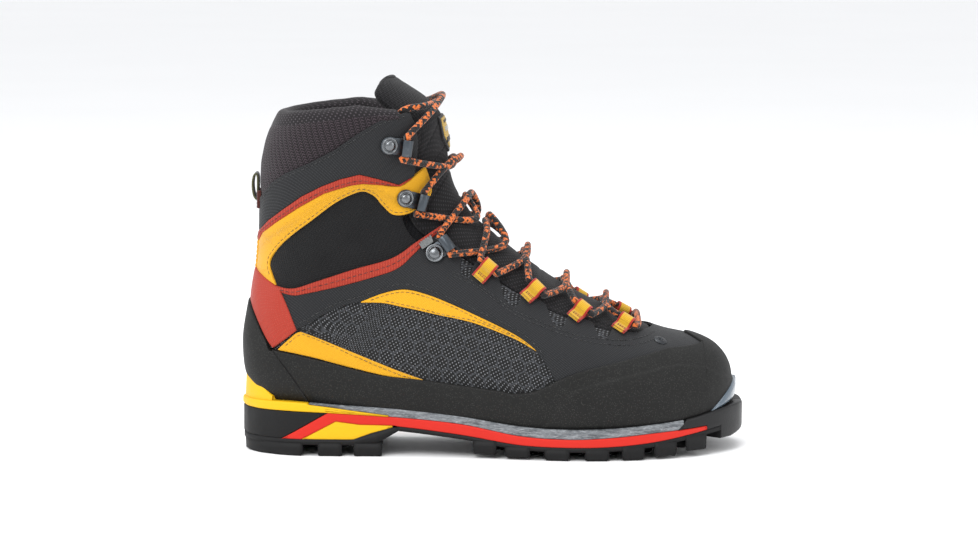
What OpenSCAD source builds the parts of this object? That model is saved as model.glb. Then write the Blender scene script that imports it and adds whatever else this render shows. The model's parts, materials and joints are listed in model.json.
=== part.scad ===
// Mountaineering boot, right foot: +X to the toe, +Y to the inner side of the foot, +Z up.
// The origin is on the ground under the middle of the boot. Sizes are in millimetres.

/* [Boot size] */
// Overall length from the heel to the tip of the sole
boot_length = 305; // [290:1:320]
// Height from the ground to the tip of the tongue
boot_height = 228; // [218:1:238]
// Width of the sole at the ball of the foot
ball_width = 107; // [102:1:112]

/* [Layers] */
// Thickness of the padded lining round the foot
lining_t = 4; // [3:0.5:4.5]
// Thickness of the foam and lining in the collar
padding_t = 7; // [5:0.5:8]
// Thickness of the tongue's foam
tongue_t = 6; // [4:0.5:6.5]
// Thickness of an outer panel
panel_t = 1.2; // [0.8:0.1:1.3]
// Thickness of the rubber rand and of the raised trims
rand_t = 1.8; // [1.4:0.1:2.2]
// Thickness of the removable footbed
footbed_t = 4; // [3:0.5:5]

/* [Sole] */
// Depth of the tread under the heel
heel_lug_depth = 7; // [5:0.5:8]
// Narrowest gap between two lugs along the edge of the sole
lug_gap = 5; // [4:0.5:6]
// How far the lugs reach in from the edge of the sole
lug_reach = 17; // [14:1:19]

/* [Lacing] */
// Diameter of the round lace
lace_d = 4; // [3.5:0.1:4.2]
// Sheet thickness of a hook
hook_t = 1; // [0.8:0.1:1.2]
// Length of a hook's lace channel
hook_w = 10; // [8:0.5:11]
// Width of a webbing lace loop
loop_w = 9; // [7:0.5:10]

/* [Hidden] */
$fn = 32;

kx = boot_length / 305;
ky = ball_width / 107;
kz = boot_height / 228;
gap = 0.3;                    // clearance between layers
mid_y = 2 * ky;               // the heel's middle, as the ball of the foot bulges to the lateral side
lateral = 1;                  // the side away from the other foot, -Y
medial = -1;                  // the side next to the other foot, +Y

// Layers, as distances out from the outer surface of the padded upper.
d_lining = -3.2;
d_stiffener = [-2.3, -1.5];
d_mesh = [-1.2, -0.2];
d_panel = [0.1, 0.1 + panel_t];
d_rand = [0.1 + panel_t + 2 * gap, 0.1 + panel_t + 2 * gap + rand_t];

/* The body of the boot is a row of sections from the toe to the collar. Each runs from a point
   under or behind the foot to a point on top of or in front of it, and bulges to each side.
   [back x, back z, front x, front z, lateral half width, medial half width, middle y,
    where it is widest, fullness towards the back, fullness towards the front] */
SECTIONS = [
    [143.5, 22, 143.5, 41,  5,  5, 9, 0.45, 3.0, 2.2],
    [142.5, 21, 142,   49, 13, 12, 9, 0.45, 3.0, 2.2],
    [138.5, 20, 138,   56, 24, 21, 9, 0.45, 3.2, 2.2],
    [131,   18, 131,   62, 35, 29, 9, 0.45, 3.5, 2.2],
    [119,   16, 119,   67, 45, 35, 8, 0.42, 4.0, 2.2],
    [103,   13, 102,   71, 52, 40, 7, 0.40, 4.0, 2.2],
    [ 83,   11,  82,   79, 55, 42, 6, 0.36, 4.5, 2.1],
    [ 60,    9,  58,   91, 55, 42, 5, 0.33, 5.0, 2.1],
    [ 36,    9,  34,  104, 54, 39, 4, 0.32, 5.0, 2.1],
    [ 10,   12,  12,  121, 50, 36, 3, 0.30, 5.0, 2.1],
    [-20,   17, -10,  139, 45, 33, 2, 0.28, 5.0, 2.2],
    [-52,   20, -19,  151, 41, 33, 1, 0.26, 4.5, 2.3],
    [-85,   22, -23,  159, 39, 34, 1, 0.26, 4.0, 2.3],
    [-114,  24, -25,  166, 37, 35, 0, 0.27, 3.0, 2.3],
    [-137,  29, -26,  172, 36, 35, 0, 0.28, 2.4, 2.4],
    [-147,  44, -27,  178, 36, 35, 0, 0.31, 2.2, 2.4],
    [-149,  65, -27.5, 184, 36, 35, 0, 0.36, 2.2, 2.4],
    [-146.5, 85, -28, 189, 37, 36, 0, 0.42, 2.3, 2.4],
    [-143, 105, -29,  194, 38, 37, 0, 0.46, 2.3, 2.4],
    [-141, 125, -30,  198, 40, 39, 0, 0.49, 2.3, 2.4],
    [-140.5, 145, -31, 202, 42, 41, 0, 0.50, 2.3, 2.4],
    [-140, 165, -33,  206, 43, 42, 0, 0.50, 2.3, 2.4],
    [-136, 187, -37,  209, 44, 43, 0, 0.50, 2.3, 2.4],
    [-129, 205, -43,  212, 44, 43, 0, 0.50, 2.3, 2.4]];
TOP = len(SECTIONS) - 1;

/* The sole, from the toe to the heel.
   [x, lateral y, medial y, top of the midsole, under the cushion, under the plate, ground] */
SOLE = [
    [ 152,    9,    9,   27,   19,   18,  12],
    [ 150.5, -4,   21,   28,   19,   18,  10.5],
    [ 145,  -16,   31,   28,   19,   17.5, 8.5],
    [ 134,  -30,   40,   26.5, 18.5, 16.5, 6],
    [ 118,  -42,   47,   23.5, 17.5, 14,   3.5],
    [  95,  -51,   51,   21,   16,   10.5, 1.3],
    [  70,  -55.5, 51.5, 19,   14,    8.5, 0],
    [  45,  -55.5, 46.5, 18.5, 13,    8,   0],
    [  15,  -51,   39,   20,   14.5,  9,   1.3],
    [ -20,  -44,   34,   25,   20.5, 14,   4],
    [ -60,  -39.5, 34,   29,   24,   18.5, 8],
    [ -95,  -38.5, 37,   31,   26,   20.5, 0],
    [-120,  -36,   36,   32.5, 27,   20,   0],
    [-138,  -27,   27,   32.5, 27,   20,   0],
    [-148,  -15,   15,   32,   27,   20,   0],
    [-152,   -2,    2,   31.5, 27,   20,   0]];

// Seam lines of the upper as the side view shows them: [x, z], from the heel to the toe.
RAND_TOP   = [[-130, 57], [-110, 46], [-95, 41], [-70, 43], [-42, 46], [4, 41], [25, 41], [39, 47],
              [69, 56], [90, 60], [105, 62], [125, 57], [140, 48], [146, 42]];
ANKLE_LOW  = [[-150, 103], [-130, 99], [-119, 97], [-96, 105], [-67, 112], [-55, 117], [-45, 123],
              [-32, 129], [0, 129]];
TRIM_LOW   = [[-112, 90], [-96, 95], [-70, 103], [-55, 108], [-45, 114], [-36, 121], [-28, 128]];
STRIPE_TOP = [[-79, 92], [-53, 99], [-24, 90], [4, 78], [27, 64]];
STRIPE_LOW = [[-79, 91], [-55, 89], [-34, 84], [-13, 80], [6, 73], [27, 63]];
REAR_TOP   = [[-128, 63], [-116, 74], [-86, 62], [-60, 52], [-42, 46.5]];
REAR_LOW   = [[-128, 61], [-96, 55], [-70, 48], [-42, 46]];
YELLOW_TOP = [[-150, 118], [-143, 122], [-138, 132], [-127, 141], [-114, 150], [-100, 159],
              [-86, 164], [-75, 165], [-56, 162], [-46, 168], [-38, 173]];
PIPING_TOP = [[-150, 121], [-144, 128], [-138, 140], [-125, 148], [-114, 157], [-102, 163],
              [-91, 167], [-79, 170], [-69, 167], [-56, 164], [-46, 170], [-38, 175]];
CUFF_TOP   = [[-142, 150], [-132, 163], [-123, 169], [-108, 176], [-94, 184], [-81, 193],
              [-66, 202], [-52, 206], [-44, 203]];
BAND_LOW   = [[-140, 186], [-129, 195], [-86, 197], [-60, 203], [-40, 205]];
// Half angle that the tongue fills at each section, from the toe.
THROAT     = [[0, 12], [5, 24], [6, 36], [7, 42], [9, 46], [12, 48], [18, 50], [23, 46]];

function side_view(line) = [for (p = line) [p[0] * kx, p[1] * kz]];

// A smooth curve through the rows of a list.
function row(t, i) = t[max(0, min(len(t) - 1, i))];
function curve(t, u) =
    let (i = floor(u), f = u - i, a = row(t, i - 1), b = row(t, i), c = row(t, i + 1), d = row(t, i + 2))
    b + (c - a) * f / 2 + (2 * a - 5 * b + 4 * c - d) * f * f / 2
      + (3 * b - a - 3 * c + d) * f * f * f / 2;

// Where a rising function of u passes zero.
function halve(f, low, high, n = 14) =
    let (mid = (low + high) / 2) n == 0 ? mid
    : f(mid) > 0 ? halve(f, low, mid, n - 1) : halve(f, mid, high, n - 1);

function section(s) =
    let (c = curve(SECTIONS, max(0, min(TOP, s))))
    [[c[0] * kx, c[1] * kz], [c[2] * kx, c[3] * kz], c[4] * ky, c[5] * ky, c[6] * ky + mid_y, c[7], c[8], c[9]];

// How far along its section, from the back point, an angle lies: 0 is in front, 180 is behind.
function share(c, a) =
    let (q = cos(a)) q >= 0 ? c[5] + (1 - c[5]) * pow(q, 2 / c[7]) : c[5] - c[5] * pow(-q, 2 / c[6]);
function angle_of(c, t) =
    t >= c[5] ? acos(min(1, pow((t - c[5]) / (1 - c[5]), c[7] / 2)))
    : acos(-min(1, pow((c[5] - t) / c[5], c[6] / 2)));

// A point of the surface: angles from 0 to 180 are lateral, and those from 180 to 360 medial.
function skin(s, angle) =
    let (c = section(s), far = angle > 180, a = far ? 360 - angle : angle,
         p = c[0] + (c[1] - c[0]) * share(c, abs(a)),
         m = far || a < 0, w = (m ? c[3] : c[2]) * pow(abs(sin(a)), 2 / (cos(a) >= 0 ? c[7] : c[6])))
    [p[0], c[4] + (m ? w : -w), p[1]];
function normal(s, angle) =
    let (e = 0.02, u = skin(min(TOP, s + e), angle) - skin(max(0, s - e), angle),
         v = skin(s, angle + 0.5) - skin(s, angle - 0.5), n = cross(u, v), k = section(s < 4 ? s + 2 : s),
         mid = (k[0] + k[1]) / 2, p = skin(s, angle), out = p - [mid[0], k[4], mid[1]])
    (n * out >= 0 ? n : -n) / norm(n);
function shell(s, angle, d) = skin(s, angle) + d * normal(s, angle);

// The section and the angle of a place that the side view gives as x and z.
function section_at(x, z) =
    halve(function (s) let (c = section(s), v = c[1] - c[0], w = [x, z] - c[0]) v[1] * w[0] - v[0] * w[1],
          0, TOP);
function angle_at(s, x, z) =
    let (c = section(s), v = c[1] - c[0]) angle_of(c, ([x, z] - c[0]) * v / (v * v));
function on_side(x, z, side, d) =
    let (s = section_at(x, z), a = angle_at(s, x, z)) shell(s, side == lateral ? a : -a, d);

// The angle at which section s crosses a seam line, and the section at which an angle crosses it.
function cross_angle(s, line) =
    let (c = section(s),
         t = halve(function (t) let (p = c[0] + (c[1] - c[0]) * t) p[1] - lookup(p[0], line), 0, 1))
    angle_of(c, t);
function cross_section(angle, line, low, high) =
    halve(function (s) let (p = skin(s, angle)) p[2] - lookup(p[0], line), low, high);

// A closed sheet between two grids of points, which run the same way.
function flip(f, turn) = turn ? [f[0], f[2], f[1]] : f;
module sheet(outer, inner, turn = false) {
    n = len(outer);
    m = len(outer[0]);
    points = concat([for (r = outer) for (p = r) p], [for (r = inner) for (p = r) p]);
    k = n * m;
    grid = [for (i = [0 : n - 2]) for (j = [0 : m - 2]) let (q = i * m + j)
        each [[q, q + 1, q + m + 1], [q, q + m + 1, q + m],
              [k + q, k + q + m + 1, k + q + 1], [k + q, k + q + m, k + q + m + 1]]];
    ends = [for (j = [0 : m - 2]) let (q = j, r = (n - 1) * m + j)
        each [[q, k + q, k + q + 1], [q, k + q + 1, q + 1],
              [r, r + 1, k + r + 1], [r, k + r + 1, k + r]]];
    sides = [for (i = [0 : n - 2]) let (q = i * m, r = i * m + m - 1)
        each [[q, q + m, k + q + m], [q, k + q + m, k + q],
              [r, k + r, k + r + m], [r, k + r + m, r + m]]];
    polyhedron(points, [for (f = concat(grid, ends, sides)) flip(f, turn)]);
}

function steps(from, to, n) = [for (i = [0 : n]) from + (to - from) * i / n];
function between(a, b, m) = [for (j = [0 : m]) a + (b - a) * j / m];

// A panel on one side, between two seam lines, at the given places along x.
module panel(xs, low, high, m, d, side) {
    lo = side_view(low);
    hi = side_view(high);
    function grid(d) = [for (x = xs) [for (z = between(lookup(x, lo), lookup(x, hi), m))
        on_side(x, z, side, d)]];
    sheet(grid(d[1]), grid(d[0]), side == medial);
}

// A panel that runs round the back from one side to the other, between two seam lines.
module wrap(angles, low, high, m, d, from = 8, to = TOP) {
    lo = side_view(low);
    hi = side_view(high);
    function grid(d) = [for (a = angles)
        [for (s = between(cross_section(a, lo, from, to), cross_section(a, hi, from, to), m)) shell(s, a, d)]];
    sheet(grid(d[1]), grid(d[0]), true);
}

// A panel over the top of the foot, between two angles that may change from section to section.
module cover(sections, from, to, m, d) {
    function grid(d) = [for (s = sections) [for (a = between(from(s), to(s), m)) shell(s, a, d)]];
    sheet(grid(d[1]), grid(d[0]), true);
}

// The line along which the upper meets the sole, from the heel to the toe.
EDGE = [for (i = [len(SOLE) - 1 : -1 : 0]) [SOLE[i][0] * kx, SOLE[i][3] * kz + gap]];
function foot_angle(s) = cross_angle(s, EDGE);
function throat(s) = lookup(s, THROAT);

// The sole's plan and levels at x.
function sole_row(x) =
    let (u = halve(function (u) x - curve(SOLE, u)[0] * kx, 0, len(SOLE) - 1, 20), r = curve(SOLE, u))
    [r[1] * ky + mid_y, r[2] * ky + mid_y, r[3] * kz, r[4] * kz, r[5] * kz, max(0, r[6]) * kz];
function edge(x, side, inset) =
    let (r = sole_row(x), half = max(0.6, (r[1] - r[0]) / 2 - inset), mid = (r[0] + r[1]) / 2)
    mid + (side == medial ? half : -half);

// A layer of the sole through the places xs, between two heights that follow x.
module layer(xs, top, bottom, inset = 0) {
    n = len(xs);
    rings = [for (x = xs) each
        [[x, edge(x, lateral, inset), bottom(x)], [x, edge(x, lateral, inset), top(x)],
         [x, edge(x, medial, inset), top(x)], [x, edge(x, medial, inset), bottom(x)]]];
    walls = [for (i = [0 : n - 2]) for (j = [0 : 3]) let (a = 4 * i + j, b = 4 * i + (j + 1) % 4)
        each [[a, b, b + 4], [a, b + 4, a + 4]]];
    polyhedron(rings, concat(walls, [[3, 2, 1, 0], [for (j = [0 : 3]) 4 * (n - 1) + j]]));
}

// ---------- Sole ----------
BASE = 10;                    // level of the heel's tread plate
STRIPE_UPPER = side_view([[-127.5, BASE], [-97.5, 26.5]]);
STRIPE_UNDER = side_view([[-115, BASE], [-94.5, 20.6], [-61, 18.4], [-58, 18.4]]);
WEDGE_UNDER = side_view([[-84, BASE], [-73.5, 13.6], [-64, 17]]);
WELT_TOP = side_view([[-111, 30.6], [-66, 25]]);
function midsole_top(x) = sole_row(x)[2];
function under_cushion(x) = sole_row(x)[3];
function under_plate(x) = sole_row(x)[4];
function welt_top(x) = x < -111 * kx ? midsole_top(x) : max(under_cushion(x), lookup(x, WELT_TOP));

module midsole_cushion() color("slategray")
    layer([for (x = [-109, -100, -88, -78, -68, -62, -45, -25, -5, 15, 35, 55, 75, 92, 106, 113]) x * kx],
          function (x) midsole_top(x), function (x) x < -66 * kx ? welt_top(x) + 0.1 : under_cushion(x) + 0.1,
          0.8);
module heel_welt() color("gold")
    layer([for (x = [-151.5, -150, -147, -143, -137, -128, -119, -111, -100, -88, -78, -68]) x * kx],
          function (x) welt_top(x), function (x) x < -90 * kx ? 27 * kz : under_cushion(x) + 0.1, 0);
module toe_lip() color("#161616")
    layer([for (x = [114, 122, 130, 137, 141.2, 141.3, 144, 147, 150, 151.7]) x * kx],
          function (x) midsole_top(x),
          function (x) x > 141.25 * kx ? sole_row(x)[5] + 1 * kz : under_cushion(x) + 0.1, 0);
module midsole_plate() color("red")
    layer([for (x = [-126, -121, -115, -106, -97.5, -94.5, -84, -72, -58, -45, -25, -5, 15, 35, 55, 75, 92, 106,
                     118, 130, 140.5]) x * kx],
          function (x) x < -97.5 * kx ? lookup(x, STRIPE_UPPER) : min(under_cushion(x), 26.5 * kz),
          function (x) x < -58 * kx ? max(BASE * kz, lookup(x, STRIPE_UNDER)) : under_plate(x), 0.4);
module heel_wedge() color("gold")
    layer([for (x = [-114, -106, -94.5, -84, -79, -73.5, -66, -61]) x * kx],
          function (x) lookup(x, STRIPE_UNDER) - 0.1,
          function (x) x < -84 * kx ? BASE * kz : min(lookup(x, WEDGE_UNDER), lookup(x, STRIPE_UNDER) - 0.6), 0.4);
module heel_block() color("#1c1c1c")
    layer([for (x = [-151.5, -150, -147, -143, -137, -128, -121, -113, -105, -98.5]) x * kx],
          function (x) 26.9 * kz, function (x) max(BASE * kz, lookup(x, STRIPE_UPPER) + 0.1), 0.2);

lug_trim = (lug_gap - 5) / 2; // what each end of a lug loses, as the narrowest gap below is 5
// A lug at the edge of the sole, from x1 to x2, which reaches in by lug_reach.
module lug(x1, x2, side, low, high) {
    n = ceil((x2 - x1) / 6);
    xs = [for (i = [0 : n]) x1 + (x2 - x1) * i / n];
    translate([0, 0, low]) linear_extrude(high - low) polygon(concat(
        [for (x = xs) [x, edge(x, side, 0)]],
        [for (i = [n : -1 : 0]) [xs[i] + (i == n ? -2 : i == 0 ? 1 : 0),
                                 edge(xs[i], side, lug_reach * (0.8 + 0.2 * sin(180 * i / n)))]]));
}
FRONT_LUGS = [[-11.5, 2], [7, 22], [30.5, 45], [54, 69], [76.5, 90], [96, 109.5], [115, 128]];
module outsole_forefoot() color("#1c1c1c") {
    layer([for (x = [-57, -45, -25, -5, 15, 35, 55, 75, 92, 106, 118, 130, 136, 140.6]) x * kx],
          function (x) under_plate(x) - 0.1, function (x) under_plate(x) - 2.2, 0.2);
    for (l = FRONT_LUGS) for (side = [lateral, medial])
        lug(l[0] * kx + lug_trim, l[1] * kx - lug_trim, side, sole_row((l[0] + l[1]) * kx / 2)[5],
            under_plate((l[0] + l[1]) * kx / 2) - 1.2);
    for (i = [0 : 5]) let (x = (6 + 21 * i) * kx, r = sole_row(x), y = (r[0] + r[1]) / 2, w = (r[1] - r[0]) / 2)
        translate([x, y, r[5] + 0.3]) linear_extrude(r[4] - r[5] - 1.3)
            polygon([[-7, 0], [-3, -w + lug_reach + 5], [5, -w + lug_reach + 5], [8, 0],
                     [5, w - lug_reach - 5], [-3, w - lug_reach - 5]]);
}
HEEL_LUGS = [[-150.5, -114], [-105, -90.5], [-83, -66.5]];
HEEL_UNDER = side_view([[-74, 0], [-67, 9.5], [-59, 14.6]]);
module outsole_heel() color("#1c1c1c") {
    layer([for (x = [-151.5, -150, -147, -143, -137, -128, -119, -110, -95, -84, -73.5, -67, -59]) x * kx],
          function (x) x < -84 * kx ? BASE * kz - 0.1 : lookup(x, WEDGE_UNDER) - 0.1,
          function (x) max(heel_lug_depth, lookup(x, HEEL_UNDER)), 0.2);
    for (l = HEEL_LUGS) for (side = [lateral, medial])
        lug(l[0] * kx + lug_trim, l[1] * kx - lug_trim, side, 0, heel_lug_depth + 0.5);
}
module shank() color("dimgray")
    layer([for (x = [-105, -85, -60, -35, -10, 15, 35]) x * kx], function (x) midsole_top(x) + 1.3,
          function (x) midsole_top(x) + gap, 24);
module lasting_board() color("tan")
    layer([for (x = [-134, -131, -126, -115, -95, -75, -50, -25, 0, 25, 50, 75, 95, 110, 122, 129]) x * kx],
          function (x) midsole_top(x) + 3.2, function (x) midsole_top(x) + 1.6, 16);
module footbed() color("dimgray")
    layer([for (x = [-131, -128, -123, -115, -95, -75, -50, -25, 0, 25, 50, 75, 95, 108, 115]) x * kx],
          function (x) midsole_top(x) + 3.5 + footbed_t, function (x) midsole_top(x) + 3.5, 17.5);

// ---------- Lining and stiffeners ----------
TOE_END = 5;                  // section where the lining of the toe meets the sides
SIDE_END = 12.4;              // section where the sides meet the lining of the heel
// Sections from the lateral side round the toe to the medial side: [section, side].
function toe_round(sections) = concat([for (i = [len(sections) - 1 : -1 : 0]) [sections[i], lateral]],
    [for (s = sections) [s, medial]]);
module toe_wrap(sections, top, m, d, low = function (s) foot_angle(s)) {
    function grid(d) = [for (p = toe_round(sections))
        [for (a = between(low(p[0]), top(p[0]), m)) shell(p[0], p[1] == lateral ? a : -a, d)]];
    sheet(grid(d[1]), grid(d[0]), true);
}
function d_lined(t) = [d_lining - t, d_lining];
// A sheet that goes over the top of the foot from one edge of the sole to the other.
module arch(sections, low, m, d) {
    function grid(d) = [for (s = sections) [for (a = between(-low(s), low(s), m)) shell(s, a, d)]];
    sheet(grid(d[1]), grid(d[0]), true);
}
module lining_toe() color("gray") arch([0.9, 1.5, 2.2, 3, 4, TOE_END],
    function (s) foot_angle(s), 12, d_lined(lining_t));
module lining_side(side) {
    s0 = TOE_END + 0.05;
    function grid(d) = [for (s = [s0, 6, 7, 8, 9, 10, 10.8, 11.6, SIDE_END])
        [for (a = between(foot_angle(s), max(throat(s) + 1, cross_angle(s, side_view(ANKLE_LOW))), 6))
            shell(s, side == lateral ? a : -a, d)]];
    sheet(grid(d_lining), grid(d_lining - lining_t), side == lateral);
}
module lining_lateral() color("gray") lining_side(lateral);
module lining_medial() color("gray") lining_side(medial);
// A wall round the heel, between two seam lines, which starts at one section on each side.
module heel_wall(low, high, d, m = 5, from = 12.46, n = 9) {
    lo = side_view(low);
    hi = side_view(high);
    a_lo = cross_angle(from, lo);
    a_hi = cross_angle(from, hi);
    function strip(t, side, d) =
        let (b = a_lo + (180 - a_lo) * t, e = a_hi + (180 - a_hi) * t,
             s0 = cross_section(b, lo, 11.5, 19), s1 = cross_section(e, hi, 11.5, 19))
        [for (f = steps(0, 1, m)) shell(s0 + (s1 - s0) * f, side * (b + (e - b) * f), d)];
    function grid(d) = concat([for (t = steps(0, 1, n)) strip(t, lateral, d)],
        [for (t = steps((n - 1) / n, 0, n - 1)) strip(t, medial, d)]);
    sheet(grid(d[1]), grid(d[0]), true);
}
HEEL_SOLE = [for (i = [15 : -1 : 9]) [SOLE[i][0], SOLE[i][3] + 1.2]];
LINING_TOP = [[-150, 102], [-130, 98], [-119, 96], [-96, 104], [-67, 111], [-55, 116]];
module lining_heel() color("gray") heel_wall(HEEL_SOLE, LINING_TOP, d_lined(lining_t));
module heel_counter() color("whitesmoke")
    heel_wall(HEEL_SOLE, [[-150, 76], [-110, 70], [-80, 58], [-66, 48]], d_stiffener, 3, 13);
module toe_puff() color("whitesmoke")
    toe_wrap([0.3, 1, 1.8, 2.8, 3.8], function (s) 30, 4, d_stiffener);

// ---------- Outer panels ----------
module side_mesh(side) panel([for (x = [36, 22, 6, -10, -28, -46, -62, -78, -94, -110, -122]) x * kx], RAND_TOP,
    [[-122, 74], [-110, 80], [-79, 91], [-60, 96], [-45, 97], [-24, 91], [4, 78], [20, 68], [36, 56]], 3,
    d_mesh, side);
module side_mesh_lateral() color("#222222") side_mesh(lateral);
module side_mesh_medial() color("#222222") side_mesh(medial);
module front_stripe(side) panel([for (x = [26, 15, 4, -10, -24, -38, -53, -66, -78]) x * kx], STRIPE_LOW, STRIPE_TOP,
    2, d_panel, side);
module front_stripe_lateral() color("gold") front_stripe(lateral);
module front_stripe_medial() color("gold") front_stripe(medial);
module rear_stripe(side) panel([for (x = [-44, -52, -62, -74, -88, -102, -114, -120]) x * kx], REAR_LOW, REAR_TOP, 2,
    d_panel, side);
module rear_stripe_lateral() color("gold") rear_stripe(lateral);
module rear_stripe_medial() color("gold") rear_stripe(medial);
// The quarter: from the heel along the ankle to the eyestay, above the side mesh and the stripe.
QUARTER_LOW = [[-122, 76], [-110, 82], [-79, 93.5], [-53, 100.5], [-24, 91.5], [4, 79.5], [27, 66], [39, 50]];
QUARTER_TOP = [[-122, 84], [-112, 90], [-96, 94.5], [-70, 102.5], [-55, 107.5], [-45, 113.5], [-36, 120.5],
               [-28, 126], [-16, 124], [0, 112], [14, 103], [27, 94], [39, 87]];
module quarter(side) panel([for (x = [38, 28, 16, 4, -10, -24, -36, -45, -55, -70, -84, -98, -111, -121]) x * kx],
    QUARTER_LOW, QUARTER_TOP, 4, d_panel, side);
module quarter_lateral() color("#3e3f40") quarter(lateral);
module quarter_medial() color("#3e3f40") quarter(medial);
function eyestay_angle(s) = throat(s) - 10;
// The panels of the forefoot end just under the rand's upper edge.
UNDER_RAND = [for (p = RAND_TOP) [p[0] * kx, (p[1] - 0.8) * kz]];
function panel_foot(s) = cross_angle(s, UNDER_RAND);
// The vamp's two wings, beside the tongue.
module eyestay(side) {
    function wing(d) = [for (s = [5.35, 5.9, 6.5, 7.1, 7.7])
        [for (a = between(panel_foot(s), eyestay_angle(s), 6)) shell(s, side == lateral ? a : -a, d)]];
    sheet(wing(d_panel[1]), wing(d_panel[0]), side == lateral);
}
module eyestay_lateral() color("#3e3f40") eyestay(lateral);
module eyestay_medial() color("#3e3f40") eyestay(medial);
module vamp() color("#3e3f40")
    arch([1.2, 1.6, 2.3, 3, 3.8, 4.6, 5.3], function (s) panel_foot(s), 14, d_panel);
module ankle_trim(side) panel([for (x = [-32, -38, -45, -55, -67, -82, -96, -110]) x * kx], TRIM_LOW,
    [for (p = ANKLE_LOW) [p[0], p[1] - 0.6]], 1, d_panel, side);
module ankle_trim_lateral() color("orangered") ankle_trim(lateral);
module ankle_trim_medial() color("orangered") ankle_trim(medial);
// The rand stops clear of the sole, as it leans outwards there.
RAND_FOOT = [for (p = EDGE) [p[0], p[1] + 1.8]];
function rand_foot(s) = cross_angle(s, RAND_FOOT);
INSERT_TOP = [[126, 25], [131, 29], [140, 34], [147, 38]];
INSERT_END = 3.2;
module rand_front() color("#323230") {
    top = side_view(RAND_TOP);
    insert = side_view(INSERT_TOP);
    toe_wrap([0, 0.5, 1, 1.6, 2.3, 3, INSERT_END, 4, 4.6, 5.3, 6, 7, 8, 9, 10, 11, 11.9],
             function (s) cross_angle(s, top), 7, d_rand,
             function (s) s < INSERT_END ? cross_angle(s, insert) - 1 : rand_foot(s));
}
module toe_insert() color("slategray") {
    insert = side_view(INSERT_TOP);
    toe_wrap([0, 0.5, 1, 1.6, 2.3, 2.8], function (s) cross_angle(s, insert) + 1, 2, [d_rand[0], d_rand[1] + 0.6],
             function (s) rand_foot(s));
}
module rand_heel() color("#323230") {
    heel_wall([for (p = HEEL_SOLE) [p[0], p[1] + 0.9]], [[-150, 88], [-145, 84], [-136, 66], [-130, 60], [-112, 47],
              [-95, 42], [-70, 43], [-50, 45]], [d_panel[0] + 0.4, d_panel[0] + rand_t + 1], 5, 12.1);
}
module heel_strip() {
    low = side_view([[-148, 88], [-144, 86], [-136, 68], [-131, 62], [-126, 66]]);
    high = side_view([[-150, 105], [-138, 104], [-130, 98], [-126, 96], [-118, 74]]);
    function rise(a, d) = [for (s = between(cross_section(a, low, 13.5, 18.9), cross_section(a, high, 13.5, 18.9), 3))
        shell(s, a, d)];
    function grid(d) = [for (a = steps(128, 232, 12)) rise(a, d)];
    color("orangered") sheet(grid(d_rand[1] - 0.6), grid(d_rand[0]), true);
}

// ---------- Cuff ----------
CUFF_ANGLES = [52, 62, 76, 90, 104, 118, 132, 146, 158, 169, 180, 191, 202, 214, 228, 242, 256, 270, 284,
               298, 308];
PAD_LOW = [[-150, 114], [-140, 116], [-128, 122], [-107, 140], [-92, 152], [-78, 158], [-60, 155], [-45, 156],
           [-30, 160]];
COLLAR_TOP = [[-131, 204], [-80, 207], [-50, 206], [-40, 205]];
module collar_padding() color("gray") wrap(CUFF_ANGLES, PAD_LOW, COLLAR_TOP, 7, [-2 - padding_t, -2], 14);
module collar_mesh() color("#3a3237")
    wrap([for (a = [64 : 14.5 : 296]) a], CUFF_TOP, BAND_LOW, 2, d_mesh, 14);
module collar_band() color("#2c282b")
    wrap([for (a = [58 : 12.2 : 302]) a], [for (p = BAND_LOW) [p[0], p[1] + 0.4]], [[-131, 203.5], [-40, 206]], 1,
         [-1.2, 0.4], 14);
CUFF_EDGE = [48, 62, 76, 90, 104, 118, 132, 146, 158, 169, 180, 191, 202, 214, 228, 242, 256, 270, 284, 298,
             312];
module cuff_overlay() color("#3e3f40") wrap(CUFF_EDGE, [for (p = PIPING_TOP) [p[0], p[1] + 0.6]],
    [for (p = CUFF_TOP) [p[0], p[1] - 0.6]], 4, d_panel, 14);
module cuff_trim() color("orangered") wrap(CUFF_EDGE, [for (p = YELLOW_TOP) [p[0], p[1] + 0.4]], PIPING_TOP, 1,
    [0.1, 0.1 + panel_t], 14);
module cuff_band() color("gold") wrap(CUFF_EDGE, [for (p = PAD_LOW) [p[0], p[1] + 0.5]], YELLOW_TOP, 2,
    d_panel, 14);
// The woven panel between the lower boot and the cuff, which creases as the ankle bends.
module ankle_flex_panel() color("#121214") wrap([56, 66, 78, 90, 104, 118, 132, 146, 158, 169, 180, 191, 202, 214,
    228, 242, 256, 270, 282, 294, 304], [for (p = ANKLE_LOW) [p[0], p[1] + 1]], [for (p = PAD_LOW) [p[0], p[1] - 1]],
    3, [-3.4, -1.8], 11);

// ---------- Tongue ----------
module tongue(sections, inset, m, d)
    cover(sections, function (s) -throat(s) + inset, function (s) throat(s) - inset, m, d);
module tongue_instep() color("#262626")
    tongue([5.4, 6.2, 7, 8, 9, 10, 10.6], 0.6, 6, [-0.5 - tongue_t, -0.5]);
module tongue_bend() color("#262626") tongue([10.75, 11.5, 12.2, 12.9], 2, 6, [-4.5, -1]);
module tongue_shin() color("#262626")
    tongue([13.05, 14, 15.5, 17, 18.5, 20, 21.2], 1, 6, [-0.5 - tongue_t, -0.5]);
// The padded end of the tongue, which stands above the collar.
TIP_ROWS = [[212.5, -41, -64, 22], [217, -44, -74, 27], [222, -50, -76, 24], [226, -57, -74, 17],
            [228, -62, -70, 10]];
module tongue_tip() {
    function ring(r, t) = [for (i = [0 : 12]) let (a = -72 + 12 * i)
        [(r[2] + (r[1] - r[2] - t) * cos(a)) * kx, (r[3] - t) * sin(a) * ky + mid_y, r[0] * kz]];
    color("#262626")
        sheet([for (r = TIP_ROWS) ring(r, 0)], [for (r = TIP_ROWS) ring(r, min(7, r[3] * 0.45))], false);
}

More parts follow.
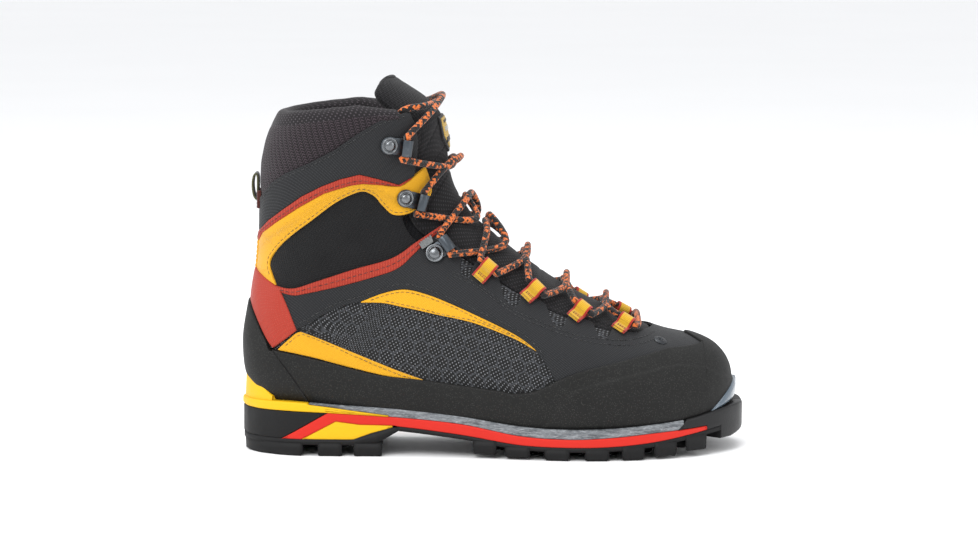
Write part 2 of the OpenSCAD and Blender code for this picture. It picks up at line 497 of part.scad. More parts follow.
module tongue_patch() color("gold")
    cover([16, 17, 18, 19, 20], function (s) -16, function (s) 16, 4, [-0.2, 0.6]);

// ---------- Hardware ----------
/* A frame on the surface at x and z of the side view: [origin, x axis, y axis, z axis]. Its z
   points outwards, its x runs forwards along the surface, and turn then turns them upwards. */
function frame(x, z, side, d, turn) =
    let (s = section_at(x * kx, z * kz), a = angle_at(s, x * kx, z * kz) * side, n = normal(s, a),
         f = [1, 0, 0] - n[0] * n, ex = f / norm(f), ey = cross(n, ex), t = side * turn)
    [shell(s, a, d), cos(t) * ex + sin(t) * ey, cos(t) * ey - sin(t) * ex, n];
// Puts its children in that frame, mirrored on the medial side.
module on_boot(x, z, side, d, turn = 0) {
    f = frame(x, z, side, d, turn);
    multmatrix([for (i = [0 : 2]) [f[1][i], f[2][i], f[3][i], f[0][i]]])
        mirror([0, side == medial ? 1 : 0, 0]) children();
}
BOTH = [lateral, medial];
on_top = d_panel[1] + 0.4;
// [x, z, turn of the channel] of each hook's rivet
UPPER_HOOKS = [[-62, 187, -8], [-53, 154.5, -15]];
LOCK_HOOK = [-35, 121.5, 35];
module rivet(r) {
    translate([0, 0, hook_t]) cylinder(r = r, h = 0.8);
    translate([0, 0, hook_t + 0.7]) rotate_extrude()
        polygon([[0, 0], [r * 0.62, 0], [r * 0.55, 1], [r * 0.3, 1.6], [0, 1.8]]);
}
// A hook: a plate under the rivet that runs forwards and curls back over the lace.
module hook(reach, w) {
    r = lace_d / 2 + 0.7;
    cylinder(r = 5.1, h = hook_t);
    translate([0, -w / 2, 0]) cube([reach, w, hook_t]);
    translate([reach, w / 2, hook_t + r]) rotate([90, 0, 0]) linear_extrude(w) difference() {
        circle(r = r + hook_t);
        circle(r = r);
        polygon([[0, -9], [0, 0], [-9, 5], [-9, -9]]);
    }
}
module speed_hooks() color("#6c7278") for (side = BOTH) for (h = UPPER_HOOKS)
    on_boot(h[0], h[1], side, on_top, h[2]) hook(9.5, hook_w);
module speed_hook_rivets() color("silver") for (side = BOTH) for (h = UPPER_HOOKS)
    on_boot(h[0], h[1], side, on_top + 0.05, h[2]) rivet(5);
module lock_hooks() color("#6c7278") for (side = BOTH)
    on_boot(LOCK_HOOK[0], LOCK_HOOK[1], side, on_top, LOCK_HOOK[2]) hook(8.5, hook_w);
module lock_hook_rivets() color("silver") for (side = BOTH)
    on_boot(LOCK_HOOK[0], LOCK_HOOK[1], side, on_top + 0.05, LOCK_HOOK[2]) rivet(5.5);

module lace_locks() color("silver") for (side = BOTH)
    on_boot(LOCK_HOOK[0], LOCK_HOOK[1], side, on_top + hook_t + 0.1, LOCK_HOOK[2])
        translate([-1, 8.8, 0]) linear_extrude(1.2)
            polygon([[-4, -2.5], [4, -2.5], [5, 3.4], [3.4, 2.4], [2, 3.8], [0.4, 2.4], [-1, 3.8], [-2.6, 2.4],
                     [-4, 3.4]]);
// [x, z, turn of the strap] of each lace loop, from the ankle to the toe
LOOPS = [[-4, 112, 52], [24, 98, 50], [52, 85, 55], [78, 76, 62]];
module lace_loops() color("gold") for (side = BOTH) for (l = LOOPS)
    on_boot(l[0], l[1], side, on_top, l[2]) {
        r = lace_d / 2 + 0.7;
        translate([-9, -loop_w / 2, 0]) cube([9, loop_w, 1]);
        translate([0, loop_w / 2, r + 1]) rotate([90, 0, 0]) linear_extrude(loop_w) difference() {
            circle(r = r + 1);
            circle(r = r);
        }
    }
module toe_eyelets() color("silver") for (side = BOTH) on_boot(100, 67, side, on_top)
    difference() { cylinder(r = 4.2, h = 0.8); translate([0, 0, -1]) cylinder(r = 1, h = 3); }

module pull_loop() color("dimgray") translate([-144.5 * kx, mid_y, 150 * kz]) difference() {
    translate([-2.6, -7, 0]) cube([5.2, 14, 16]);
    translate([-1.4, -8, 1.4]) cube([2.8, 16, 13.2]);
}

// ---------- Lace ----------
/* What the lace runs through, from the toe to the top:
   [x, z, turn, reach of the channel, its length, height of the lace above the panel] */
lace_lift = lace_d / 2 + 0.7;
STAYS = concat(
    [for (i = [3 : -1 : 0]) [LOOPS[i][0], LOOPS[i][1], LOOPS[i][2], 0, loop_w, 1 + lace_lift]],
    [[LOCK_HOOK[0], LOCK_HOOK[1], LOCK_HOOK[2], 8.5, hook_w, hook_t + lace_lift]],
    [for (i = [1 : -1 : 0]) [UPPER_HOOKS[i][0], UPPER_HOOKS[i][1], UPPER_HOOKS[i][2], 9.5, hook_w,
        hook_t + lace_lift]]);
// The way through a channel, from its toe side to its ankle side.
function ends(k, side) =
    let (h = STAYS[k], f = frame(h[0], h[1], side, on_top + h[5], h[2]), c = f[0] + h[3] * f[1],
         v = side * f[2])
    [for (t = [-h[4] / 2 - 2.3, -h[4] / 2 - 0.8, 0, h[4] / 2 + 0.8, h[4] / 2 + 2.3]) c + t * v];
function stay_section(k) = let (h = STAYS[k]) section_at(h[0] * kx, h[1] * kz);
// Sections where the two strands between stays k and k + 1 cross, over the middle of the tongue.
CROSSINGS = [6.7, 7.7, 8.8, 9.8, 11, 14.7];
// How far a strand dips from its crossing, in sections, before it enters a hook.
DIPS = [0, 0, 0, 0.5, 0.75, 0];
// The lace's way over the tongue from one side to the other, and which strand lies on top.
function over(k, side, top) =
    let (c = CROSSINGS[k], sa = c + 0.2 * (stay_section(k) - c), sb = c - DIPS[k],
         h = lace_d / 2 + 0.4)
    [shell(sa, side * 19, h + 1.2), shell(c, 0, top ? h + lace_d + 0.6 : h), shell(sb, -side * 19, h + 1.2)];
// One strand between two channels, from the exit of the first to the entry of the second.
function strand(from, to, side, start) =
    [for (k = [from : to]) let (s = side * (k % 2 == 0 ? 1 : -1))
        each concat(k == from && start == 0 ? [] : ends(k, s),
                    k < to ? over(k, s, (k + (side == lateral ? 1 : 0)) % 2 == 0) : [])];
function smooth(p, n = 2) =
    [for (i = [0 : len(p) - 2]) for (j = [0 : n - 1]) curve(p, i + j / n), p[len(p) - 1]];
function unit(v) = v / norm(v);
function tangent(p, i) = unit(p[min(i + 1, len(p) - 1)] - p[max(i - 1, 0)]);
// A normal for each point, carried along the curve without twisting.
function carried(p, i = 0, last = [0.1, 0.2, 1], out = []) =
    i == len(p) ? out
    : let (t = tangent(p, i), v = unit(last - (last * t) * t)) carried(p, i + 1, v, concat(out, [v]));
module tube(route, d, sides = 8) {
    p = smooth(route);
    n = carried(p);
    points = [for (i = [0 : len(p) - 1]) for (j = [0 : sides - 1]) let (b = cross(tangent(p, i), n[i]))
        p[i] + d / 2 * (cos(360 * j / sides) * n[i] + sin(360 * j / sides) * b)];
    walls = [for (i = [0 : len(p) - 2]) for (j = [0 : sides - 1])
        let (a = i * sides + j, b = i * sides + (j + 1) % sides)
        each [[a, b + sides, b], [a, a + sides, b + sides]]];
    polyhedron(points, concat(walls, [[for (j = [0 : sides - 1]) j],
        [for (j = [sides - 1 : -1 : 0]) (len(p) - 1) * sides + j]]));
}
module lace_forefoot() color("#30231f") {
    toe_bar = [for (a = [24, 8, -8, -24]) shell(stay_section(0) - 0.35, a, lace_d / 2 + on_top + 0.3)];
    half = function (side) strand(0, 4, side, 1);
    back = half(medial);
    tube(concat([for (i = [len(back) - 1 : -1 : 0]) back[i]], [for (i = [3 : -1 : 0]) toe_bar[i]],
                half(lateral)), lace_d);
}
// A point on the way from a to b, far from a.
function towards(a, b, far) = a + far * unit(b - a);
module lace_ankle() color("#30231f") for (side = BOTH) {
    middle = over(4, side, side == lateral);
    tube(concat([towards(ends(4, side)[4], middle[0], 3)], middle,
                [towards(ends(5, -side)[0], middle[2], 3)]), lace_d);
}
module lace_cuff() color("#30231f") for (side = BOTH) {
    lift = side == lateral ? lace_d + 0.5 : 0;
    tube(concat(ends(5, side), over(5, side, side == lateral), ends(6, -side),
         [shell(21.2, -side * 30, 3.4), shell(21.6, 0, 3 + lift), shell(21.9, side * 30, 3.2),
          shell(22.2, side * 44, 0), shell(22, side * 48, -5)]), lace_d);
}

outsole_forefoot();
outsole_heel();
heel_block();
heel_wedge();
midsole_plate();
midsole_cushion();
heel_welt();
toe_lip();
toe_insert();
shank();
lasting_board();
footbed();
lining_toe();
lining_lateral();
lining_medial();
lining_heel();
toe_puff();
heel_counter();
vamp();
eyestay_lateral();
eyestay_medial();
quarter_lateral();
quarter_medial();
side_mesh_lateral();
side_mesh_medial();
front_stripe_lateral();
front_stripe_medial();
rear_stripe_lateral();
rear_stripe_medial();
ankle_trim_lateral();
ankle_trim_medial();
rand_front();
rand_heel();
heel_strip();
ankle_flex_panel();
tongue_instep();
tongue_bend();
tongue_shin();
tongue_tip();
tongue_patch();
collar_padding();
collar_mesh();
collar_band();
cuff_overlay();
cuff_trim();
cuff_band();
speed_hooks();
speed_hook_rivets();
lock_hooks();
lock_hook_rivets();
lace_locks();
lace_loops();
toe_eyelets();
lace_forefoot();
lace_ankle();
lace_cuff();
pull_loop();
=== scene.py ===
import json
import math

import bmesh
import bpy
import numpy as np
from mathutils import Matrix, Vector


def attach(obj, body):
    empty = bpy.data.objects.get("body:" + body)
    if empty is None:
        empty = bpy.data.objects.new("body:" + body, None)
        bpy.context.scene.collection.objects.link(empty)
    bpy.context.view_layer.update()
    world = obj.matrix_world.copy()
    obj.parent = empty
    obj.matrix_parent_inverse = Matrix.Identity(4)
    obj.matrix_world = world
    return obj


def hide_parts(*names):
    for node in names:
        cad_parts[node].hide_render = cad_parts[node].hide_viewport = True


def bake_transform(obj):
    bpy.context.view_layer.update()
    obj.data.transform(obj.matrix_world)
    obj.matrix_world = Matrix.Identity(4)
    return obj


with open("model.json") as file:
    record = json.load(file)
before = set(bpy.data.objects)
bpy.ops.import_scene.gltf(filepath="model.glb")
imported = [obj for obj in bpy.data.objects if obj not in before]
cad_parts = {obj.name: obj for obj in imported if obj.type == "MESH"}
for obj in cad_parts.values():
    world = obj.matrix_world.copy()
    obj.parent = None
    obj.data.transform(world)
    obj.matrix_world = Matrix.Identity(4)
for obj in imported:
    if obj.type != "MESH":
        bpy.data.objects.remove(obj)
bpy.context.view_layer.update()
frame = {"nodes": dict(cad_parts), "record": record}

MM = 0.001
LATERAL, MEDIAL = 1, -1
BOTH = ((LATERAL, "lateral"), (MEDIAL, "medial"))

# ---------------------------------------------------------------- the boot's form, in millimetres
# Sections from the toe to the collar, as in the CAD model: back x, z, front x, z, half widths
# lateral and medial, middle y, where it is widest, fullness behind and in front.
SECTIONS = np.array([
    [143.5, 22, 143.5, 41, 5, 5, 9, 0.45, 3.0, 2.2],
    [142.5, 21, 142, 49, 13, 12, 9, 0.45, 3.0, 2.2],
    [138.5, 20, 138, 56, 24, 21, 9, 0.45, 3.2, 2.2],
    [131, 18, 131, 62, 35, 29, 9, 0.45, 3.5, 2.2],
    [119, 16, 119, 67, 45, 35, 8, 0.42, 4.0, 2.2],
    [103, 13, 102, 71, 52, 40, 7, 0.40, 4.0, 2.2],
    [83, 11, 82, 79, 55, 42, 6, 0.36, 4.5, 2.1],
    [60, 9, 58, 91, 55, 42, 5, 0.33, 5.0, 2.1],
    [36, 9, 34, 104, 54, 39, 4, 0.32, 5.0, 2.1],
    [10, 12, 12, 121, 50, 36, 3, 0.30, 5.0, 2.1],
    [-20, 17, -10, 139, 45, 33, 2, 0.28, 5.0, 2.2],
    [-52, 20, -19, 151, 41, 33, 1, 0.26, 4.5, 2.3],
    [-85, 22, -23, 159, 39, 34, 1, 0.26, 4.0, 2.3],
    [-114, 24, -25, 166, 37, 35, 0, 0.27, 3.0, 2.3],
    [-137, 29, -26, 172, 36, 35, 0, 0.28, 2.4, 2.4],
    [-147, 44, -27, 178, 36, 35, 0, 0.31, 2.2, 2.4],
    [-149, 65, -27.5, 184, 36, 35, 0, 0.36, 2.2, 2.4],
    [-146.5, 85, -28, 189, 37, 36, 0, 0.42, 2.3, 2.4],
    [-143, 105, -29, 194, 38, 37, 0, 0.46, 2.3, 2.4],
    [-141, 125, -30, 198, 40, 39, 0, 0.49, 2.3, 2.4],
    [-140.5, 145, -31, 202, 42, 41, 0, 0.50, 2.3, 2.4],
    [-140, 165, -33, 206, 43, 42, 0, 0.50, 2.3, 2.4],
    [-136, 187, -37, 209, 44, 43, 0, 0.50, 2.3, 2.4],
    [-129, 205, -43, 212, 44, 43, 0, 0.50, 2.3, 2.4]])
TOP = len(SECTIONS) - 1
MID_Y = 2.0
# The sole from the toe to the heel: x, lateral y, medial y, top of the midsole, under the
# cushion, under the plate, ground.
SOLE = np.array([
    [152, 9, 9, 27, 19, 18, 12],
    [150.5, -4, 21, 28, 19, 18, 10.5],
    [145, -16, 31, 28, 19, 17.5, 8.5],
    [134, -30, 40, 26.5, 18.5, 16.5, 6],
    [118, -42, 47, 23.5, 17.5, 14, 3.5],
    [95, -51, 51, 21, 16, 10.5, 1.3],
    [70, -55.5, 51.5, 19, 14, 8.5, 0],
    [45, -55.5, 46.5, 18.5, 13, 8, 0],
    [15, -51, 39, 20, 14.5, 9, 1.3],
    [-20, -44, 34, 25, 20.5, 14, 4],
    [-60, -39.5, 34, 29, 24, 18.5, 8],
    [-95, -38.5, 37, 31, 26, 20.5, 0],
    [-120, -36, 36, 32.5, 27, 20, 0],
    [-138, -27, 27, 32.5, 27, 20, 0],
    [-148, -15, 15, 32, 27, 20, 0],
    [-152, -2, 2, 31.5, 27, 20, 0]])


def curve(table, u):
    """A smooth curve through the rows of a table, at u counted in rows."""
    u = np.asarray(u, float)
    i = np.floor(u).astype(int)
    f = (u - i)[..., None]
    a, b, c, d = (table[np.clip(i + k, 0, len(table) - 1)] for k in (-1, 0, 1, 2))
    return b + (c - a) * f / 2 + (2 * a - 5 * b + 4 * c - d) * f**2 / 2 + (3 * b - a - 3 * c + d) * f**3 / 2


def halve(f, low, high, turns=26):
    """Where the rising function f passes zero."""
    low, high = np.array(low, float), np.array(high, float)
    for _ in range(turns):
        mid = (low + high) / 2
        over = f(mid) > 0
        high, low = np.where(over, mid, high), np.where(over, low, mid)
    return (low + high) / 2


def skin(s, angle):
    """A point of the base surface: section s, and an angle that is 0 in front, 180 behind, and
    positive on the lateral side. Angles above 180 come back along the medial side."""
    s, angle = np.broadcast_arrays(np.asarray(s, float), np.asarray(angle, float))
    c = curve(SECTIONS, np.clip(s, 0, TOP))
    a = np.where(angle > 180, angle - 360, angle)
    medial = a < 0
    q, w = np.cos(np.radians(a)), np.abs(np.sin(np.radians(a)))
    fore, aft, wide = c[..., 9], c[..., 8], c[..., 7]
    front = q >= 0
    share = np.where(front, wide + (1 - wide) * np.abs(q) ** (2 / fore), wide - wide * np.abs(q) ** (2 / aft))
    half = np.where(medial, c[..., 5], c[..., 4]) * w ** (2 / np.where(front, fore, aft))
    x = c[..., 0] + (c[..., 2] - c[..., 0]) * share
    z = c[..., 1] + (c[..., 3] - c[..., 1]) * share
    y = MID_Y + c[..., 6] + np.where(medial, half, -half)
    return np.stack([x, y, z], -1)


def unit(v):
    return v / np.maximum(np.linalg.norm(v, axis=-1, keepdims=True), 1e-9)


def normal(s, angle):
    s, angle = np.broadcast_arrays(np.asarray(s, float), np.asarray(angle, float))
    e = 0.02
    u = skin(np.minimum(TOP, s + e), angle) - skin(np.maximum(0, s - e), angle)
    v = skin(s, angle + 0.5) - skin(s, angle - 0.5)
    n = unit(np.cross(u, v))
    c = curve(SECTIONS, np.clip(np.where(s < 4, s + 2, s), 0, TOP))
    mid = np.stack([(c[..., 0] + c[..., 2]) / 2, MID_Y + c[..., 6], (c[..., 1] + c[..., 3]) / 2], -1)
    out = np.sum(n * (skin(s, angle) - mid), -1, keepdims=True)
    return np.where(out >= 0, n, -n)


def shell(s, angle, d):
    return skin(s, angle) + np.asarray(d, float)[..., None] * normal(s, angle)


def angle_at(c, t):
    """The angle of the outline of section c at share t from its back to its front."""
    wide = c[..., 7]
    front = np.clip((t - wide) / (1 - wide), 0, 1) ** (c[..., 9] / 2)
    back = np.clip((wide - t) / wide, 0, 1) ** (c[..., 8] / 2)
    return np.degrees(np.arccos(np.where(t >= wide, front, -back)))


def place(x, z, side):
    """Section and angle of a place in the side view."""
    x, z = np.broadcast_arrays(np.asarray(x, float), np.asarray(z, float))

    def turned(s):
        c = curve(SECTIONS, s)
        return (c[..., 3] - c[..., 1]) * (x - c[..., 0]) - (c[..., 2] - c[..., 0]) * (z - c[..., 1])

    s = halve(turned, np.zeros(x.shape), np.full(x.shape, float(TOP)))
    c = curve(SECTIONS, s)
    vx, vz = c[..., 2] - c[..., 0], c[..., 3] - c[..., 1]
    t = ((x - c[..., 0]) * vx + (z - c[..., 1]) * vz) / (vx**2 + vz**2)
    return s, angle_at(c, t) * side


def height(line, x):
    """The z of a seam line at x. A line is a list of [x, z] from the heel to the toe."""
    line = np.array(line, float)
    return np.interp(x, line[:, 0], line[:, 1])


def rounded(line, n=12):
    """The same line with its corners rounded off, sampled more finely."""
    line = np.array(line, float)
    u = np.linspace(0, len(line) - 1, (len(line) - 1) * n + 1)
    return curve(line, u)


def cross_angle(s, line, low=0.0, high=1.0):
    """The angle at which section s crosses a seam line."""
    s = np.asarray(s, float)
    c = curve(SECTIONS, s)

    def above(t):
        x = c[..., 0] + (c[..., 2] - c[..., 0]) * t
        return c[..., 1] + (c[..., 3] - c[..., 1]) * t - height(line, x)

    t = halve(above, np.full(s.shape, low), np.full(s.shape, high))
    return angle_at(c, t)


def cross_section(angle, line, low, high):
    """The section at which an angle crosses a seam line."""
    angle = np.asarray(angle, float)

    def above(s):
        p = skin(s, angle)
        return p[..., 2] - height(line, p[..., 0])

    return halve(above, np.full(angle.shape, float(low)), np.full(angle.shape, float(high)))


def noise(p, size, seed=0):
    """Smooth waves in space, from -1 to 1, about size millimetres across."""
    r = np.random.default_rng(seed)
    total = np.zeros(p.shape[:-1])
    for _ in range(5):
        k = unit(r.normal(size=3)) * 2 * np.pi / (size * r.uniform(0.8, 1.6))
        total += np.sin(p @ k + r.uniform(0, 2 * np.pi))
    return total / 5


def make(name, points, faces, uv=None, smooth=True):
    """A mesh object from points in millimetres."""
    mesh = bpy.data.meshes.new(name)
    mesh.from_pydata((np.asarray(points, float).reshape(-1, 3) * MM).tolist(), [], [list(f) for f in faces])
    if uv is not None:
        layer = mesh.uv_layers.new(name="UVMap")
        loops = np.empty(len(mesh.loops), int)
        mesh.loops.foreach_get("vertex_index", loops)
        corners = np.asarray(uv, float).reshape(-1, 2)[loops] * MM
        layer.data.foreach_set("uv", corners.ravel().astype(np.float32))
    if smooth:
        mesh.shade_smooth()
    mesh.update()
    obj = bpy.data.objects.new(name, mesh)
    bpy.context.scene.collection.objects.link(obj)
    return obj


def grid_faces(n, m, turn=False, wrap=False, first=0):
    i, j = np.meshgrid(np.arange(n - 1), np.arange(m if wrap else m - 1), indexing="ij")
    k = (j + 1) % m
    quads = np.stack([i * m + j, i * m + k, (i + 1) * m + k, (i + 1) * m + j], -1).reshape(-1, 4) + first
    return quads[:, ::-1].tolist() if turn else quads.tolist()


def spaced(n, rim=0.02):
    """Parameters from 0 to 1 that crowd at both ends, where an edge rolls over."""
    inner = np.linspace(rim, 1 - rim, n)
    return np.concatenate([[0, 0, rim * 0.15, rim * 0.4], inner, [1 - rim * 0.4, 1 - rim * 0.15, 1, 1]])


def arc(points, axis):
    step = np.linalg.norm(np.diff(points, axis=axis), axis=-1)
    zero = np.zeros_like(np.take(step, [0], axis=axis))
    return np.cumsum(np.concatenate([zero, step], axis=axis), axis=axis)


class Panel:
    """A panel laid on the boot: locate(u, v) gives section and angle for u along and v across.
    It stands from base to top off the skin, with its edges rolled over by rim. joined(u) says
    where the far edge runs on into another panel, and so isn't rolled over."""

    def __init__(self, name, locate, nu, nv, base, top, rim=0.5, relief=None, open_u=(False, False),
                 joined=None):
        u = spaced(nu, 0.6 / nu)
        v = spaced(nv, 0.6 / nv)
        if open_u[0]:
            u = u[4:]
            u[0] = 0
        if open_u[1]:
            u = u[:-4]
            u[-1] = 1
        uu, vv = np.meshgrid(u, v, indexing="ij")
        s, a = locate(uu, vv)
        self.locate, self.top = locate, top
        flat = shell(s, a, np.full(s.shape, top))
        along, across = arc(flat, 0), arc(flat, 1)
        far = across[:, -1:] - across
        held = np.zeros(u.shape, bool) if joined is None else joined(u)
        edge = np.where(held[:, None], across, np.minimum(across, far))
        if not open_u[0]:
            edge = np.minimum(edge, along)
        if not open_u[1]:
            edge = np.minimum(edge, along[-1:] - along)
        t = np.clip(edge / rim, 0, 1)
        d = top - rim * (1 - np.sqrt(1 - (1 - t) ** 2))
        if relief is not None:
            d = d + relief(flat, uu, vv) * np.clip(edge / 2.5, 0, 1)
        d[:, 0] = base
        d[~held, -1] = base
        if not open_u[0]:
            d[0] = base
        if not open_u[1]:
            d[-1] = base
        self.points = shell(s, a, d)
        self.uv = np.stack([along, across - across[:, -1:] / 2], -1)
        n, m = s.shape
        flip = np.sum(np.cross(flat[n // 2 + 1, m // 2] - flat[n // 2, m // 2],
                               flat[n // 2, m // 2 + 1] - flat[n // 2, m // 2])
                      * normal(s[n // 2, m // 2], a[n // 2, m // 2])) < 0
        self.faces = grid_faces(n, m, turn=bool(flip))
        self.obj = make(name, self.points, self.faces, self.uv) if name else None

    def seam(self, v=None, inset=None, far=False, u=(0.0, 1.0), count=200, lift=0.0):
        """Points and normals along the panel: at share v across, or inset from one long edge."""
        t = np.linspace(*u, count)
        if inset is not None:
            fine = np.linspace(0, 1, 60)
            uu, vv = np.meshgrid(t, fine, indexing="ij")
            run = arc(shell(*self.locate(uu, vv), np.full(uu.shape, self.top)), 1)
            v = np.array([np.interp(min(inset, r[-1] / 2), r, fine) for r in run])
            if far:
                v = np.array([np.interp(max(r[-1] - inset, r[-1] / 2), r, fine) for r in run])
        s, a = self.locate(t, np.broadcast_to(v, t.shape))
        return shell(s, a, np.full(t.shape, self.top + lift)), normal(s, a)


def fuse(name, *panels):
    """Panels that run on into each other, as one piece."""
    points, faces, uv = [], [], []
    for p in panels:
        first = sum(len(q) for q in points)
        points.append(p.points.reshape(-1, 3))
        uv.append(p.uv.reshape(-1, 2))
        faces += [[i + first for i in f] for f in p.faces]
    return weld(make(name, np.concatenate(points), faces, np.concatenate(uv)))


def stitches(name, runs, length=2.3, space=0.8, width=0.55, high=0.32):
    """A row of thread stitches along each run of points and normals."""
    body = np.array([[math.cos(t), math.sin(t)] for t in np.linspace(0, math.pi, 6)])
    ring_at = np.array([-1, -0.82, -0.35, 0.35, 0.82, 1])
    ring_r = np.array([0.25, 0.75, 1, 1, 0.75, 0.25])
    points, faces, uv = [], [], []
    for p, n in runs:
        run = arc(p[None], 1)[0]
        for c in np.arange(length / 2 + 0.3, run[-1] - length / 2, length + space):
            at = [np.array([np.interp(c + k * length / 2, run, p[:, i]) for i in range(3)]) for k in ring_at]
            nn = unit(np.array([np.interp(c, run, n[:, i]) for i in range(3)]))
            t = unit(at[-1] - at[0])
            side = np.cross(nn, t)
            first = len(points)
            for q, r in zip(at, ring_r):
                for cx, cy in body:
                    points.append(q + side * cx * width / 2 * r + nn * (cy * high * r - 0.02))
                    uv.append([c, cx])
            faces += grid_faces(len(ring_at), len(body), first=first)
    return make(name, points, faces, uv)


def tube(name, route, radius, sides=16, step=0.5):
    """A round cord along a route of points."""
    p = curve(np.asarray(route, float), np.linspace(0, len(route) - 1, 400))
    run = arc(p[None], 1)[0]
    at = np.linspace(0, run[-1], max(8, int(run[-1] / step)))
    p = np.stack([np.interp(at, run, p[:, i]) for i in range(3)], -1)
    t = unit(np.gradient(p, axis=0))
    n = np.zeros_like(p)
    last = np.array([0.1, 0.2, 1.0])
    for i in range(len(p)):
        last = unit(last - (last @ t[i]) * t[i])
        n[i] = last
    b = np.cross(t, n)
    turn = np.linspace(0, 2 * np.pi, sides, endpoint=False)
    size = np.full(len(p), radius)
    size[[0, -1]] *= 0.55
    ring = p[:, None] + size[:, None, None] * (np.cos(turn)[None, :, None] * n[:, None]
                                              + np.sin(turn)[None, :, None] * b[:, None])
    uv = np.stack(np.broadcast_arrays(at[:, None], turn[None] * radius), -1)
    faces = grid_faces(len(p), sides, turn=True, wrap=True)
    faces += [list(range(sides)), list(range((len(p) - 1) * sides, len(p) * sides))[::-1]]
    return make(name, ring, faces, uv)


def carry(obj, where, *nodes, slot=None):
    """Fixes a piece to a body, or for the ankle and the top bakes its place in without a parent, and hides
    the CAD nodes it stands for.
    """
    if where == "ankle":
        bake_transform(obj)
    elif where == "top":
        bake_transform(obj)
    else:
        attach(obj, where)
    if nodes:
        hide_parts(*nodes)
    return obj


def reshape(obj, change):
    """Changes an object's mesh by a function of its bmesh."""
    b = bmesh.new()
    b.from_mesh(obj.data)
    change(b)
    b.to_mesh(obj.data)
    b.free()
    return obj


def weld(obj, far=0.02):
    """Joins points that lie together."""
    return reshape(obj, lambda b: bmesh.ops.remove_doubles(b, verts=b.verts, dist=far * MM))


def outward(obj):
    """Turns every face of a closed piece outwards."""
    return reshape(obj, lambda b: bmesh.ops.recalc_face_normals(b, faces=b.faces))


def bevelled(obj, width, sharp=None):
    """Rounds every edge, or those that turn by more than sharp radians."""

    def change(b):
        edges = b.edges[:]
        if sharp is not None:
            edges = [e for e in edges if len(e.link_faces) == 2 and e.calc_face_angle() > sharp]
        bmesh.ops.bevel(b, geom=edges, offset=width * MM, segments=2, affect="EDGES", clamp_overlap=True)

    return reshape(obj, change)


def strip(low, high, side):
    """A place on the boot between two side-view lines of as many points each."""
    low, high = np.array(low, float), np.array(high, float)

    def locate(u, v):
        k = np.asarray(u) * (len(low) - 1)
        p = curve(low, k)
        p = p + (curve(high, k) - p) * np.asarray(v)[..., None]
        return place(p[..., 0], p[..., 1], side)

    return locate


def centred(s0, s1, half, middle=0.0):
    """A place from section s0 to s1, half degrees to each side of an angle."""
    return lambda u, v: (s0 + (s1 - s0) * np.asarray(u), middle + half * (1 - 2 * np.asarray(v)))


def around(a0, low, high, first, last):
    """A place between two side-view lines, round the back from angle a0 to the same on the other side."""
    def locate(u, v):
        a = a0 + (360 - 2 * a0) * np.asarray(u)
        s0, s1 = cross_section(a, low, first, last), cross_section(a, high, first, last)
        return s0 + (s1 - s0) * v, a

    return locate


def rim(w):
    """The sole's outline: w is 0 at the toe, 15 at the heel and 30 at the toe again, past the medial
    side. Gives x, y and the outward normal."""
    def at(w):
        w = np.mod(w, 30)
        u = np.where(w > 15, 30 - w, w)
        c = curve(SOLE, u)
        return np.stack([c[..., 0], MID_Y + np.where(w > 15, c[..., 2], c[..., 1])], -1)

    t = unit(at(np.asarray(w) + 0.15) - at(np.asarray(w) - 0.15))
    return at(w), np.stack([-t[..., 1], t[..., 0]], -1)


def level(column):
    """A height of the sole's table as a function of x."""
    u = np.linspace(0, 15, 400)
    c = curve(SOLE, u)
    return lambda x: np.interp(x, c[::-1, 0], np.maximum(0, c[::-1, column]))


midsole_top, under_cushion, under_plate, ground = (level(k) for k in (3, 4, 5, 6))


def band(name, w0, w1, low, high, out=0.0, depth=9.0, r=1.0, n=260, lean=0.0, relief=None):
    """A layer of the sole round its outline from w0 to w1, between two heights that follow x."""
    w = np.linspace(w0, w1, n)
    p, nn = rim(w)
    lo, hi = low(p[:, 0]), high(p[:, 0])
    hi = np.maximum(hi, lo + 0.05)
    r = np.minimum(r, (hi - lo) * 0.45)
    turn = np.linspace(0, np.pi / 2, 5)
    rows = [(-depth, lo, 0 * lo)]
    rows += [(0, lo + r * (1 - np.cos(t)), r * (1 - np.sin(t))) for t in turn]
    rows += [(0, lo + (hi - lo) * k, 0 * lo) for k in (0.3, 0.5, 0.7)]
    rows += [(0, hi - r * (1 - np.sin(t)), r * (1 - np.cos(t))) for t in turn]
    rows += [(-depth, hi, 0 * lo)]
    points = []
    for o, z, back in rows:
        off = out + o - back + lean * (z - lo)
        q = p + nn * np.asarray(off)[..., None]
        points.append(np.column_stack([q, z]))
    points = np.stack(points, 1)
    if relief is not None:
        points[:, 1:-1, :2] += nn[:, None] * relief(points[:, 1:-1])[..., None]
    m = points.shape[1]
    run = arc(points[:, m // 2][None], 1)[0]
    uv = np.stack(np.broadcast_arrays(run[:, None], points[..., 2]), -1)
    faces = grid_faces(n, m, wrap=True) + [list(range(m)), list(range((n - 1) * m, n * m))[::-1]]
    return make(name, points, faces, uv)


